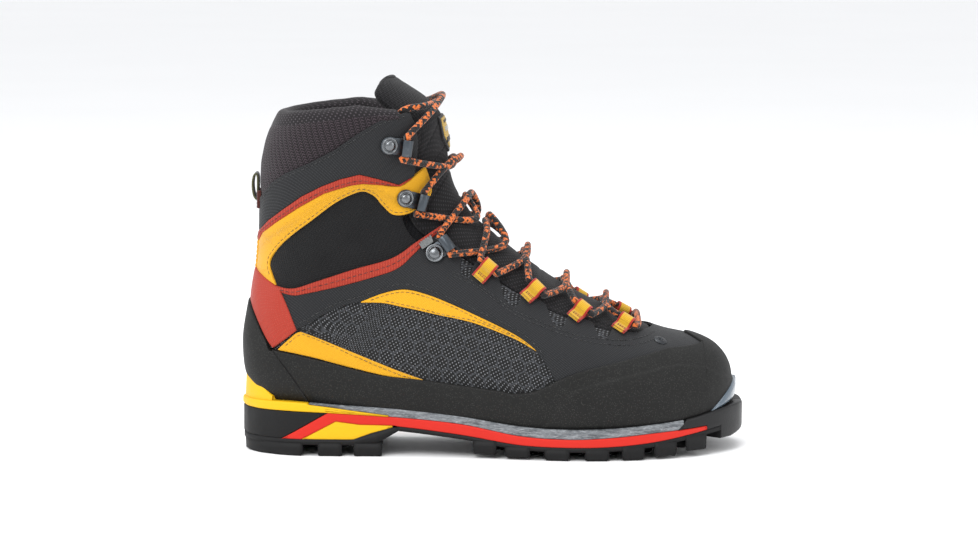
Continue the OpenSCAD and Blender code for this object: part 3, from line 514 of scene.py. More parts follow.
def pad(name, surface, inward, outside, puff=0.6, round_off=3.0, open_ends=(False, False), relief=None):
    """A padded body under an outer surface, a grid of points that faces outside. Its edges round
    off, and inward is its thickness."""
    p = surface
    du, dv = np.gradient(p, axis=0), np.gradient(p, axis=1)
    n = unit(np.cross(du, dv))
    if np.sum(n * np.asarray(outside)) < 0:
        n = -n
    along, across = arc(p, 0), arc(p, 1)
    edge = np.minimum(across, across[:, -1:] - across)
    ends = [along, along[-1:] - along]
    for k in (0, 1):
        if not open_ends[k]:
            edge = np.minimum(edge, ends[k])
    t = np.clip(edge / round_off, 0, 1)
    full = np.sqrt(1 - (1 - t) ** 2)
    thick = np.broadcast_to(inward, edge.shape)
    bulge = puff * np.clip(edge / 12, 0, 1) ** 0.7
    if relief is not None:
        bulge = bulge + relief(p, along, across) * t
    outer = p + n * (bulge - thick / 2 * (1 - full))[..., None]
    inner = p - n * (thick - thick / 2 * (1 - full))[..., None]
    rows, cols = edge.shape
    uv = np.stack([along, across - across[:, -1:] / 2], -1).reshape(-1, 2)
    count = rows * cols
    faces = grid_faces(rows, cols) + grid_faces(rows, cols, turn=True, first=count)
    for i in range(rows - 1):
        for j, turn in ((0, False), (cols - 1, True)):
            a, b = i * cols + j, (i + 1) * cols + j
            f = [a, b, b + count, a + count]
            faces.append(f[::-1] if turn else f)
    for j in range(cols - 1):
        for i, turn in ((0, True), (rows - 1, False)):
            a = i * cols + j
            f = [a, a + 1, a + 1 + count, a + count]
            faces.append(f[::-1] if turn else f)
    points = np.concatenate([outer.reshape(-1, 3), inner.reshape(-1, 3)])
    return outward(weld(make(name, points, faces, np.concatenate([uv, uv]))))


def sweep(name, route, up, profile, samples):
    """A profile of (sideways, up) points carried along a route, with an up direction for each point."""
    k = np.linspace(0, len(route) - 1, samples)
    p, u = curve(np.asarray(route, float), k), curve(np.asarray(up, float), k)
    t = unit(np.gradient(p, axis=0))
    side = unit(np.cross(t, u))
    u = unit(np.cross(side, t))
    prof = np.asarray(profile, float)
    ring = p[:, None] + side[:, None] * prof[None, :, :1] + u[:, None] * prof[None, :, 1:]
    run = arc(p[None], 1)[0]
    uv = np.stack(np.broadcast_arrays(run[:, None], prof[None, :, 0]), -1)
    m = len(prof)
    faces = grid_faces(samples, m, wrap=True)
    faces += [list(range(m)), list(range((samples - 1) * m, samples * m))[::-1]]
    return outward(make(name, ring, faces, uv))


def ribbon_profile(width, thick, r=None):
    """A flat cross section with rounded edges."""
    r = thick / 2 if r is None else r
    corner = [(math.cos(t) * r, math.sin(t) * r) for t in np.linspace(0, math.pi / 2, 4)]
    x, y = width / 2 - r, thick / 2 - r
    out = [(x + a, y + b) for a, b in corner]
    out += [(-x - b, y + a) for a, b in corner]
    out += [(-x - a, -y - b) for a, b in corner]
    out += [(x + b, -y - a) for a, b in corner]
    return out


def local(x, z, side, d, turn=0.0):
    """A frame on the boot: origin, forwards, sideways and outwards, as the CAD model has it."""
    s, a = place(x, z, side)
    n = normal(s, a)
    f = unit(np.array([1.0, 0, 0]) - n[0] * n)
    y = np.cross(n, f)
    t = math.radians(side * turn)
    return shell(s, a, d), math.cos(t) * f + math.sin(t) * y, math.cos(t) * y - math.sin(t) * f, n


def set_on(frame_at, points, side):
    """Points of a local frame, mirrored on the medial side."""
    o, x, y, n = frame_at
    p = np.asarray(points, float)
    return o + p[..., :1] * x + side * p[..., 1:2] * y + p[..., 2:] * n


def lathe(name, frame_at, profile, side, sides):
    """A round part in a local frame, from (radius, height) points."""
    prof = np.asarray(profile, float)
    turn = np.linspace(0, 2 * np.pi, sides, endpoint=False)
    x, y = prof[:, :1] * np.cos(turn), prof[:, :1] * np.sin(turn)
    ring = np.stack(np.broadcast_arrays(x, y, prof[:, 1:]), -1)
    faces = grid_faces(len(prof), sides, wrap=True)
    faces += [list(range(sides)), list(range((len(prof) - 1) * sides, len(prof) * sides))]
    return outward(make(name, set_on(frame_at, ring, side), faces))


def join(name, parts):
    """Several pieces as one."""
    bpy.ops.object.select_all(action="DESELECT")
    for o in parts:
        o.select_set(True)
    bpy.context.view_layer.objects.active = parts[0]
    bpy.ops.object.join()
    parts[0].name = name
    return parts[0]


# ---------------------------------------------------------------- materials
STUDIO_GAIN = 0.68             # makes a surface look as bright as its colour says under this light


def srgb(r, g, b):
    """A colour as it looks under the studio's light, in 0 to 255, as linear reflectance."""
    return tuple(STUDIO_GAIN * ((c / 255 + 0.055) / 1.055) ** 2.4 for c in (r, g, b)) + (1.0,)


class Paint:
    """One node material and short words for its nodes."""

    def __init__(self, name):
        self.made = bpy.data.materials.new(name)
        self.made.use_nodes = True
        self.tree = self.made.node_tree
        self.bsdf = self.tree.nodes["Principled BSDF"]
        coord = self.tree.nodes.new("ShaderNodeTexCoord")
        self.uv, self.object = coord.outputs["UV"], coord.outputs["Object"]

    def put(self, socket, value):
        if isinstance(value, bpy.types.NodeSocket):
            self.tree.links.new(value, socket)
        else:
            socket.default_value = value

    def math(self, what, a, b=0.0, c=0.0, clamp=False):
        n = self.tree.nodes.new("ShaderNodeMath")
        n.operation, n.use_clamp = what, clamp
        for socket, value in zip(n.inputs, (a, b, c)):
            self.put(socket, value)
        return n.outputs[0]

    def mul(self, a, b):
        return self.math("MULTIPLY", a, b)

    def add(self, a, b):
        return self.math("ADD", a, b)

    def sub(self, a, b, clamp=False):
        return self.math("SUBTRACT", a, b, clamp=clamp)

    def vector(self, what, a, b=(0, 0, 0)):
        n = self.tree.nodes.new("ShaderNodeVectorMath")
        n.operation = what
        self.put(n.inputs[0], a)
        self.put(n.inputs[1], b)
        return n.outputs["Value" if what in ("DOT_PRODUCT", "LENGTH") else "Vector"]

    def stretch(self, place, size, turn=0.0):
        """Scales coordinates so that one unit is size metres, after turning them."""
        n = self.tree.nodes.new("ShaderNodeMapping")
        self.put(n.inputs["Vector"], place)
        n.inputs["Rotation"].default_value = (0, 0, turn)
        n.inputs["Scale"].default_value = tuple(1 / s for s in np.broadcast_to(size, 3).tolist())
        return n.outputs[0]

    def parts(self, v):
        n = self.tree.nodes.new("ShaderNodeSeparateXYZ")
        self.put(n.inputs[0], v)
        return n.outputs

    def together(self, x, y, z=0.0):
        n = self.tree.nodes.new("ShaderNodeCombineXYZ")
        for socket, value in zip(n.inputs, (x, y, z)):
            self.put(socket, value)
        return n.outputs[0]

    def noise(self, v, detail=2.0, rough=0.5, distort=0.0):
        n = self.tree.nodes.new("ShaderNodeTexNoise")
        self.put(n.inputs["Vector"], v)
        for name, value in (("Scale", 1.0), ("Detail", detail), ("Roughness", rough),
                            ("Distortion", distort)):
            n.inputs[name].default_value = value
        return n.outputs[0]

    def cells(self, v):
        n = self.tree.nodes.new("ShaderNodeTexVoronoi")
        n.feature = "F1"
        self.put(n.inputs["Vector"], v)
        n.inputs["Scale"].default_value = 1.0
        n.inputs["Randomness"].default_value = 1.0
        return n.outputs["Distance"]

    def wave(self, x):
        """A smooth wave from 0 to 1, once for each unit of x."""
        return self.math("MULTIPLY_ADD", self.math("SINE", self.math("MULTIPLY", x, 2 * math.pi)), 0.5, 0.5)

    def step(self, x, low, high):
        n = self.tree.nodes.new("ShaderNodeMapRange")
        n.interpolation_type = "SMOOTHSTEP"
        self.put(n.inputs[0], x)
        n.inputs[1].default_value, n.inputs[2].default_value = low, high
        return n.outputs[0]

    def between(self, x, low, high):
        return self.math("MULTIPLY_ADD", x, high - low, low)

    def mix(self, share, a, b):
        n = self.tree.nodes.new("ShaderNodeMix")
        n.data_type = "RGBA"
        self.put(n.inputs[0], share)
        self.put(n.inputs[6], a)
        self.put(n.inputs[7], b)
        return n.outputs[2]

    def finish(self, colour, rough, height=None, depth=0.0002, fine=None, fine_depth=0.00005, **rest):
        """Joins colour, roughness and two bumps, whose depths are in metres, to the shader."""
        self.put(self.bsdf.inputs["Base Color"], colour)
        self.put(self.bsdf.inputs["Roughness"], rough)
        last = None
        for h, d in ((height, depth), (fine, fine_depth)):
            if h is not None:
                n = self.tree.nodes.new("ShaderNodeBump")
                n.inputs["Strength"].default_value = 1.0
                n.inputs["Distance"].default_value = d
                self.put(n.inputs["Height"], h)
                if last is not None:
                    self.put(n.inputs["Normal"], last)
                last = n.outputs[0]
        if last is not None:
            self.put(self.bsdf.inputs["Normal"], last)
        rest.setdefault("Specular_IOR_Level", 0.22)
        for name, value in rest.items():
            self.bsdf.inputs[name.replace("_", " ")].default_value = value
        return self.made


def grainy(name, colour, rough, grain, depth, change=0.15, **rest):
    """Moulded rubber, foam or plastic: fine grain, patchy tone and gloss."""
    p = Paint(name)
    fine = p.noise(p.stretch(p.object, grain), 3.0, 0.6)
    patch = p.noise(p.stretch(p.object, 0.03), 4.0, 0.6)
    dark = tuple(c * (1 - change) for c in colour[:3]) + (1.0,)
    light = tuple(min(1, c * (1 + change) + 0.002) for c in colour[:3]) + (1.0,)
    tone = p.mix(p.math("MULTIPLY_ADD", fine, 0.5, p.mul(patch, 0.5)), dark, light)
    gloss = p.between(patch, rough - 0.1, rough + 0.12)
    return p.finish(tone, gloss, patch, depth * 2, fine, depth, **rest)


def woven(name, warp, weft, size=0.0008, depth=0.00018, rough=0.75, sheen=0.08, change=0.12):
    """Plain weave: warp and weft threads that pass over each other, with painted shade in the hollows between
    them.
    """
    p = Paint(name)
    u, v, _ = p.parts(p.stretch(p.uv, size))
    a, b = p.wave(u), p.wave(v)
    over = p.wave(p.mul(p.add(u, v), 0.5))
    height = p.add(p.mul(a, over), p.mul(b, p.sub(1.0, over)))
    patch = p.noise(p.stretch(p.uv, 0.02), 3.0, 0.6)
    fibre = p.noise(p.stretch(p.uv, (0.0002, 0.0004, 0.0003)), 2.0)
    tone = p.mix(over, warp, weft)
    # dark serves both the random darker patches and the painted shade in the weave's hollows
    dark = tuple(c * (1 - change * 2.5) for c in warp[:3]) + (1.0,)
    tone = p.mix(p.mul(patch, change * 2), tone, dark)
    # painted shade: the colour darkens towards dark where the threads sink, in the hollows between them
    tone = p.mix(p.sub(0.6, p.mul(height, 0.6), clamp=True), tone, dark)
    return p.finish(tone, p.between(patch, rough - 0.08, rough + 0.1), height, depth, fibre, depth * 0.25,
                    Sheen_Weight=sheen)


def ribbed(name, dark, light, size=0.0013, turn=0.8, depth=0.00015, rough=0.62, sheen=0.04):
    """Coated fabric with a fine diagonal rib, its raised crests given a painted highlight."""
    p = Paint(name)
    x, y, z = p.parts(p.stretch(p.object, size))
    rib = p.wave(p.add(p.mul(x, math.cos(turn)), p.mul(p.add(z, y), math.sin(turn))))
    cross = p.wave(p.mul(p.sub(p.mul(x, math.sin(turn)), p.mul(p.add(z, y), math.cos(turn))), 0.6))
    patch = p.noise(p.stretch(p.uv, 0.015), 4.0, 0.6)
    fibre = p.noise(p.stretch(p.uv, 0.0003), 2.0)
    # painted highlight: the raised rib crests take the light colour, the rest keeps the dark one
    line = p.mul(p.step(rib, 0.55, 0.95), p.between(cross, 0.45, 1.0))
    tone = p.mix(p.mul(line, p.between(patch, 0.3, 0.9)), dark, light)
    return p.finish(tone, p.between(patch, rough - 0.1, rough + 0.1), p.mul(rib, p.between(cross, 0.6, 1)),
                    depth, fibre, depth * 0.3, Sheen_Weight=sheen)


def hexagons(name, ground_tone, line_tone, dot_tone, size=0.0085, depth=0.00022):
    """Ripstop mesh with hexagon outlines and slanting rows of light dots."""
    p = Paint(name)
    at = p.stretch(p.uv, size, 0.12)
    r = (1.0, math.sqrt(3), 1.0)
    half = tuple(x / 2 for x in r)

    def cell(v):
        n = p.tree.nodes.new("ShaderNodeVectorMath")
        n.operation = "WRAP"
        p.put(n.inputs[0], v)
        n.inputs[1].default_value = half
        n.inputs[2].default_value = tuple(-x for x in half)
        return n.outputs[0]

    a, b = cell(at), cell(p.vector("SUBTRACT", at, (0.5, math.sqrt(3) / 2, 0)))
    flat = (1, 1, 0)
    a, b = p.vector("MULTIPLY", a, flat), p.vector("MULTIPLY", b, flat)
    nearer = p.math("LESS_THAN", p.vector("LENGTH", a), p.vector("LENGTH", b))
    g = p.vector("ABSOLUTE", p.mix(nearer, b, a))
    gx, gy, _ = p.parts(g)
    edge = p.math("MAXIMUM", gx, p.add(p.mul(gx, 0.5), p.mul(gy, 0.866)))
    outline = p.step(edge, 0.425, 0.465)
    dots = p.stretch(p.uv, (0.0017, 0.0021, 1.0), 0.7)
    dx, dy, _ = p.parts(dots)
    spot = p.mul(p.step(p.wave(dx), 0.5, 0.8), p.step(p.wave(dy), 0.6, 0.85))
    tx, ty, _ = p.parts(p.stretch(p.uv, 0.0006))
    thread = p.mul(p.wave(tx), p.wave(ty))
    patch = p.noise(p.stretch(p.uv, 0.02), 3.0)
    tone = p.mix(p.mul(spot, p.between(patch, 0.35, 1.0)), ground_tone, dot_tone)
    tone = p.mix(p.mul(outline, 0.85), tone, line_tone)
    return p.finish(tone, p.between(patch, 0.5, 0.75), p.math("MAXIMUM", outline, p.mul(spot, 0.7)),
                    depth, thread, 0.00006, Sheen_Weight=0.1)


def knitted(name, dark, light, size, depth, rough, sheen):
    """Chevron knit: slanting loops that turn over at each rib, with painted highlight on the loop tops and
    painted shade between them.
    """
    p = Paint(name)
    u, v, _ = p.parts(p.stretch(p.uv, (size, size * 0.55, size)))
    zig = p.math("ABSOLUTE", p.sub(p.math("FRACT", u), 0.5))
    loop = p.wave(p.add(v, p.mul(zig, 2.0)))
    column = p.sub(1.0, p.math("POWER", p.mul(zig, 2.0), 6.0))
    height = p.mul(loop, column)
    patch = p.noise(p.stretch(p.uv, 0.012), 3.0)
    fibre = p.noise(p.stretch(p.uv, 0.00025), 2.0)
    # painted highlight and shade: the tone runs from dark in the hollows to light on the raised loops
    tone = p.mix(p.mul(p.step(height, 0.25, 0.9), p.between(patch, 0.5, 1.0)), dark, light)
    return p.finish(tone, p.between(patch, rough - 0.1, rough + 0.08), height, depth, fibre, 0.00006,
                    Sheen_Weight=sheen)


def dotted(name, ground_tone, dot_tone, size=0.0024, depth=0.0003, rough=0.7, sheen=0.06, share=0.75):
    """Knit with a regular grid of raised dots."""
    p = Paint(name)
    at = p.stretch(p.uv, (size, size, size), 0.785)
    u, v, _ = p.parts(at)
    spot = p.step(p.mul(p.wave(u), p.wave(v)), 0.45, 0.75)
    patch = p.noise(p.stretch(p.uv, 0.01), 3.0)
    fibre = p.noise(p.stretch(p.uv, 0.0003), 2.0)
    tone = p.mix(p.mul(spot, p.between(patch, share * 0.6, share)), ground_tone, dot_tone)
    return p.finish(tone, p.between(patch, rough - 0.1, rough + 0.1), spot, depth, fibre, 0.00006,
                    Sheen_Weight=sheen)


def speckled(name, colour, speck, grain=0.0009, depth=0.00012, rough=0.62, scuff=0.4):
    """Rubber rand: tiny light specks in dark rubber, dull patches and fine scuffs along it."""
    p = Paint(name)
    at = p.stretch(p.object, grain)
    dots = p.cells(at)
    fine = p.noise(p.stretch(p.object, grain * 0.8), 3.0, 0.7)
    patch = p.noise(p.stretch(p.object, 0.03), 5.0, 0.65)
    scratch = p.noise(p.stretch(p.uv, (0.02, 0.0006, 0.02)), 2.0, 0.6)
    tone = p.mix(p.mul(p.sub(1.0, p.step(dots, 0.1, 0.34)), 0.5), colour, speck)
    tone = p.mix(p.mul(p.step(scratch, 0.62, 0.8), scuff * 0.3), tone, speck)
    gloss = p.between(patch, rough - 0.14, rough + 0.16)
    return p.finish(tone, gloss, patch, 0.0004, fine, depth)


def marbled(name, dark, light, depth=0.00012):
    """Midsole foam with pale fibres drawn out along it."""
    p = Paint(name)
    flow = p.noise(p.stretch(p.uv, (0.012, 0.0022, 0.01)), 6.0, 0.7, 1.2)
    specks = p.noise(p.stretch(p.uv, (0.0022, 0.0007, 0.001)), 3.0, 0.7, 0.5)
    share = p.math("MULTIPLY_ADD", p.step(flow, 0.35, 0.65), 0.6, p.mul(p.step(specks, 0.45, 0.7), 0.45))
    return p.finish(p.mix(share, dark, light), p.between(flow, 0.5, 0.75), flow, depth, specks, depth * 0.6)


def braided(name, dark, fleck, second, size=0.0011, girth=0.0126):
    """Round braided cord: slanting strands, with some in a bright colour, and painted shade where they sink
    between each other.
    """
    p = Paint(name)
    u, v, _ = p.parts(p.uv)
    around_it = p.math("DIVIDE", v, girth / 8)
    along = p.math("DIVIDE", u, size)
    left, right = p.add(along, around_it), p.sub(along, around_it)
    a, b = p.wave(p.mul(left, 0.5)), p.wave(p.mul(right, 0.5))
    height = p.math("MAXIMUM", a, b)
    n = p.tree.nodes.new("ShaderNodeTexWhiteNoise")
    n.noise_dimensions = "2D"
    p.put(n.inputs["Vector"], p.together(p.math("FLOOR", p.mul(left, 0.5)),
                                         p.math("FLOOR", p.mul(right, 0.5))))
    pick = n.outputs["Value"]
    groups = p.noise(p.stretch(p.uv, 0.004), 1.0)
    bright = p.math("GREATER_THAN", p.math("MULTIPLY_ADD", groups, 0.5, p.mul(pick, 0.75)), 0.70)
    tone = p.mix(p.math("GREATER_THAN", pick, 0.55), dark, second)
    tone = p.mix(bright, tone, fleck)
    # painted shade: near black where the strands dip between each other
    tone = p.mix(p.sub(0.8, height, clamp=True), tone, srgb(8, 7, 7))
    fibre = p.noise(p.stretch(p.uv, (0.0005, 0.0001, 0.0003)), 2.0)
    return p.finish(tone, p.between(groups, 0.6, 0.85), height, 0.0003, fibre, 0.00005, Sheen_Weight=0.2)


def brushed(name, colour, rough):
    """Plated metal with fine scratches and paler worn patches."""
    p = Paint(name)
    scratch = p.noise(p.stretch(p.object, (0.0004, 0.003, 0.0006)), 3.0, 0.6)
    patch = p.noise(p.stretch(p.object, 0.003), 4.0, 0.6)
    tone = p.mix(p.mul(p.step(patch, 0.55, 0.75), 0.25), colour, srgb(190, 190, 188))
    return p.finish(tone, p.between(scratch, rough - 0.08, rough + 0.16), scratch, 0.00003, patch, 0.00006,
                    Metallic=1.0, Specular_IOR_Level=0.5)


def webbing(name, middle, edge_tone, width=0.009, rib=0.0009, share=0.3):
    """Woven tape: cross ribs with painted shade between them, and edges of another colour. v runs across it
    from its middle.
    """
    p = Paint(name)
    u, v, _ = p.parts(p.uv)
    ribs = p.wave(p.math("DIVIDE", u, rib))
    line = p.wave(p.math("DIVIDE", v, rib * 1.4))
    side = p.step(p.math("DIVIDE", p.math("ABSOLUTE", v), width / 2), 1 - share - 0.08, 1 - share)
    patch = p.noise(p.stretch(p.uv, 0.004), 3.0)
    tone = p.mix(side, middle, edge_tone)
    # painted shade: the tone darkens in the hollows between the cross ribs
    dark = p.mix(0.6, tone, srgb(5, 5, 5))
    tone = p.mix(p.mul(p.sub(1.0, ribs), 0.5), tone, dark)
    return p.finish(tone, p.between(patch, 0.6, 0.85), p.mul(ribs, p.between(line, 0.5, 1.0)), 0.0002, patch,
                    0.0001, Sheen_Weight=0.2)


# How each finish is made: its kind, then its colours in 0 to 255 and its measures.
# In the ribbed and knitted finishes the second colour is a painted highlight on the raised ribs and loops.
FINISHES = {
    "black_rubber": (grainy, (17, 17, 18), 0.58, 0.0009, 0.00012),
    "yellow_foam": (grainy, (250, 196, 16), 0.5, 0.0007, 0.00006, 0.07),
    "red_foam": (grainy, (222, 42, 28), 0.5, 0.0007, 0.00006, 0.08),
    "grey_foam": (marbled, (84, 88, 92), (168, 172, 176)),
    "toe_tpu": (grainy, (84, 100, 114), 0.25, 0.002, 0.00004, 0.1,
                {"Coat_Weight": 0.5, "Coat_Roughness": 0.12, "Specular_IOR_Level": 0.5}),
    "toe_rubber": (grainy, (27, 27, 28), 0.42, 0.0011, 0.0001),
    "shank_plastic": (grainy, (40, 40, 42), 0.4, 0.001, 0.00005),
    "board": (grainy, (150, 120, 84), 0.8, 0.0008, 0.0001),
    "stiffener": (grainy, (205, 203, 196), 0.55, 0.001, 0.00006),
    "footbed_foam": (dotted, (38, 40, 43), (86, 88, 92), 0.004, 0.0004, 0.85, 0.3),
    "lining": (knitted, (16, 16, 18), (46, 46, 50), 0.0026, 0.0002, 0.85, 0.15),
    "overlay": (ribbed, (27, 28, 30), (60, 61, 64)),
    "vamp_overlay": (ribbed, (26, 27, 29), (58, 59, 62), 0.0011, 0.6, 0.00012),
    "side_fabric": (hexagons, (13, 13, 14), (60, 62, 66), (150, 152, 156)),
    "yellow_fabric": (woven, (247, 184, 22), (232, 160, 14), 0.0009, 0.0001, 0.6, 0.15, 0.05),
    "red_fabric": (ribbed, (166, 48, 32), (208, 84, 56), 0.0016, 0.0, 0.00018, 0.6),
    "red_rubber": (dotted, (178, 56, 40), (200, 80, 58), 0.0016, 0.0002, 0.5, 0.03),
    "rand_rubber": (speckled, (24, 24, 23), (86, 86, 82)),
    "flex_fabric": (woven, (20, 20, 22), (10, 10, 12), 0.0015, 0.0003, 0.75, 0.06),
    "tongue_fabric": (woven, (26, 25, 28), (12, 12, 14), 0.0018, 0.0003, 0.8, 0.08),
    "tongue_mesh": (dotted, (16, 15, 17), (58, 55, 60), 0.0021, 0.0003, 0.8, 0.08, 0.6),
    "collar_knit": (knitted, (24, 18, 21), (78, 66, 73), 0.0036, 0.00035, 0.82, 0.08),
    "collar_edge": (dotted, (26, 22, 25), (98, 90, 96), 0.0022, 0.0003),
    "collar_lining": (knitted, (16, 15, 17), (42, 40, 45), 0.003, 0.00025, 0.88, 0.15),
    "hook_metal": (brushed, (88, 94, 100), 0.3),
    "rivet_metal": (brushed, (128, 131, 134), 0.24),
    "lock_metal": (brushed, (120, 122, 122), 0.34),
    "eyelet_metal": (brushed, (70, 72, 75), 0.35),
    "loop_webbing": (webbing, (238, 186, 40), (196, 48, 34), 0.0095, 0.0008, 0.28),
    "pull_webbing": (webbing, (62, 63, 66), (96, 96, 62), 0.014, 0.001, 0.2),
    "pull_base": (webbing, (126, 54, 42), (92, 40, 32), 0.014, 0.001, 0.15),
    "lace_cord": (braided, (24, 20, 20), (228, 118, 52), (48, 34, 30), 0.0013),
    "dark_thread": (braided, (34, 34, 36), (70, 70, 72), (44, 44, 46), 0.0004, 0.002),
    "yellow_thread": (braided, (214, 152, 24), (250, 205, 80), (190, 128, 16), 0.0004, 0.002),
    "red_thread": (braided, (120, 30, 22), (180, 60, 40), (100, 24, 18), 0.0004, 0.002),
    "badge_yellow": (woven, (224, 186, 84), (196, 156, 60), 0.0007, 0.00015, 0.6, 0.2),
    "badge_dark": (woven, (26, 25, 26), (14, 14, 15), 0.0007, 0.00015, 0.6, 0.2),
    "badge_pale": (woven, (202, 200, 192), (176, 174, 168), 0.0007, 0.00015, 0.6, 0.2)}


def finish_of(name, kind, *how):
    rest = how[-1] if isinstance(how[-1], dict) else {}
    plain = [srgb(*x) if isinstance(x, tuple) else x for x in how if not isinstance(x, dict)]
    return kind(name, *plain, **rest)


paint = {name: finish_of(name, *how) for name, how in FINISHES.items()}
SLOTS = [m["slot"] for m in frame["record"]["materials"]]


def done(obj, finish, where, *nodes, slot=None):
    """Gives a piece its material and its body, and hides the CAD nodes it stands for."""
    obj.data.materials.clear()
    obj.data.materials.append(paint[finish])
    return carry(obj, where, *nodes, slot=slot or (finish if finish in SLOTS else None))


# ---------------------------------------------------------------- the sole
def line_fn(points):
    points = np.array(points, float)
    return lambda x: np.interp(x, points[:, 0], points[:, 1])


def lower_of(a, b):
    return lambda x: np.minimum(a(x), b(x))


def raised(f, by):
    return lambda x: f(x) + by


def turn_at(x, medial=False):
    """Where the outline passes x: w as rim() counts it."""
    w = np.linspace(0, 15, 3000)
    c = curve(SOLE, w)[:, 0]
    at = float(np.interp(-x, -c, w))
    return 30 - at if medial else at


def ends_at(x):
    return turn_at(x), turn_at(x, medial=True)


TREAD = 10.0                   # level of the heel's tread plate
welt_line = line_fn([[-111, 31.2], [-98, 29.6], [-84, 27.6], [-64, 24.9]])
stripe_top = line_fn([[-127.5, TREAD], [-99, 26.5]])
stripe_under = line_fn([[-115.5, TREAD], [-94.5, 21.2], [-80, 19.3], [-61, 18.9], [-56, 18.4]])
wedge_under = line_fn([[-84, TREAD], [-73.5, 13.8], [-60, 17.6]])
texture = lambda q: 0.12 * noise(q, 9, 3)

w0, w1 = ends_at(-63)
done(band("heel_welt_top", w0, w1, under_cushion, lambda x: np.where(x < -111, midsole_top(x), welt_line(x)),
          0.5, 12, 1.1, relief=texture), "yellow_foam", "lower", "heel_welt")
w0, w1 = ends_at(-133.6)
spur_top = line_fn([[-151.2, 49.4], [-134, 35.4]])
spur = band("heel_spur", w0, w1, raised(midsole_top, -1.0), spur_top, -1.0, 5, 0.9, 160, -0.05)
done(spur, "yellow_foam", "lower", slot="yellow_foam")


def span(x0, x1, side):
    """The stretch of the outline from x0 to x1 on one side, in rising order."""
    return sorted((turn_at(x0, side == MEDIAL), turn_at(x1, side == MEDIAL)))


def plate_top(x):
    return np.where(x < -99, stripe_top(x), np.minimum(under_cushion(x), 26.5)) - 0.05


def plate_low(x):
    return np.where(x < -58, np.maximum(TREAD, stripe_under(x)), under_plate(x))


def cushion_low(x):
    return np.where(x < -63, np.maximum(welt_line(x) + 0.05, under_cushion(x)), under_cushion(x))


def wedge_low(x):
    return np.where(x < -84, TREAD, np.minimum(wedge_under(x), stripe_under(x) - 0.4))


# The cushion, the red plate and the yellow wedge, each as a band along both sides.
for side, tag in BOTH:
    done(band("midsole_side_" + tag, *span(113.5, -110.5, side), cushion_low, midsole_top, -0.2, 14, 0.7, 400,
              relief=texture), "grey_foam", "lower", slot="grey_foam")
    done(band("plate_side_" + tag, *span(137.5, -127, side), plate_low, plate_top, 0.1, 14, 0.8, 420,
              relief=texture), "red_foam", "lower", slot="red_foam")
    done(band("wedge_side_" + tag, *span(-60.5, -115, side), wedge_low, raised(stripe_under, -0.05), -0.3, 14,
              0.7, relief=texture), "yellow_foam", "lower", slot="yellow_foam")

w0, w1 = ends_at(-98)
done(band("heel_block_side", w0, w1, lambda x: np.where(x < -127.5, TREAD, stripe_top(x)),
          raised(under_cushion, -0.1), 0.0, 14, 0.9, relief=texture), "black_rubber", "lower", "heel_block")


def slab(name, x0, x1, low, high, inset, n=90):
    """A plate that fills the sole's outline from x0 to x1."""
    u = np.linspace(turn_at(x1), turn_at(x0), n)
    left, nl = rim(u)
    right, nr = rim(30 - u)
    a, b = left - nl * inset, right - nr * inset
    rows = []
    for t in np.linspace(0, 1, 14):
        q = a + (b - a) * t
        rows.append(np.column_stack([q, low(q[:, 0])]))
    for t in np.linspace(1, 0, 14):
        q = a + (b - a) * t
        rows.append(np.column_stack([q, high(q[:, 0])]))
    p = np.stack(rows, 1)
    m = p.shape[1]
    faces = grid_faces(n, m, wrap=True) + [list(range(m)), list(range((n - 1) * m, n * m))]
    return outward(make(name, p, faces, p[..., :2]))


done(slab("midsole_fill", -109, 113, under_cushion, raised(midsole_top, -0.3), 3), "grey_foam", "lower",
     "midsole_cushion")
done(slab("plate_fill", -113, 137, raised(plate_low, 0.2),
          lambda x: np.where(x < -99, np.minimum(stripe_top(x), 26),
                             np.minimum(under_cushion(x), 26.5)) - 0.2, 3),
     "red_foam", "lower", "midsole_plate")
done(slab("wedge_fill", -84, -61, raised(lower_of(wedge_under, raised(stripe_under, -0.4)), 0.2),
          raised(stripe_under, -0.2), 3), "yellow_foam", "lower", "heel_wedge")


def block(name, outline, low, high, taper=1.0, bevel=0.7):
    """A rubber block on an outline in plan. Its tread face is smaller by taper."""
    p = np.asarray(outline, float)
    mid = p.mean(0)
    levels = [(low, taper), (low + 0.6, taper * 0.5), ((low + high) / 2, taper * 0.25), (high, 0.0)]
    rings = []
    for z, inset in levels:
        q = p - unit(p - mid) * inset
        rings.append(np.column_stack([q, np.full(len(q), z)]))
    m = len(p)
    faces = grid_faces(len(rings), m, wrap=True) + [list(range(m))[::-1],
                                                    list(range((len(rings) - 1) * m, len(rings) * m))]
    obj = bevelled(outward(make(name, np.stack(rings), faces, smooth=False)), bevel, 0.6)
    obj.data.shade_smooth()
    return obj


LUG_REACH = 17.0
FRONT_LUGS = [[-12.5, 2], [6.5, 22], [30, 45.5], [54, 69], [76, 90], [95.5, 109.5], [114.5, 128]]
HEEL_LUGS = [[-150.8, -114], [-105.5, -90.5], [-84, -66.5]]


def edge_y(x, medial, inset):
    q, n = rim(turn_at(x, medial))
    return (q - n * inset)[1]


def lug_outline(x0, x1, side, reach):
    medial = side == MEDIAL
    s = 1 if side == LATERAL else -1
    xs = np.linspace(x0, x1, max(6, round((x1 - x0) / 2.5)))
    outer = [[x, edge_y(x, medial, -0.3)] for x in xs]
    slant = 2.2 * (1 if x0 > -30 else 0.5)
    inner = []
    for x, t, depth in ((x1 - slant, 1, 0.78), ((x0 + x1) / 2 + 0.6, 0.5, 1.0), (x0 + 0.8, 0, 0.9)):
        y = edge_y(x, medial, 0)
        inner.append([x, y + s * min(reach * depth, abs(y - MID_Y) - 1.2)])
    notch = [[x0 + 0.4, edge_y(x0, medial, 0) + s * min(reach * 0.45,
                                                        abs(edge_y(x0, medial, 0) - MID_Y) - 2)]]
    return outer + inner + (notch if x0 > -140 else [])


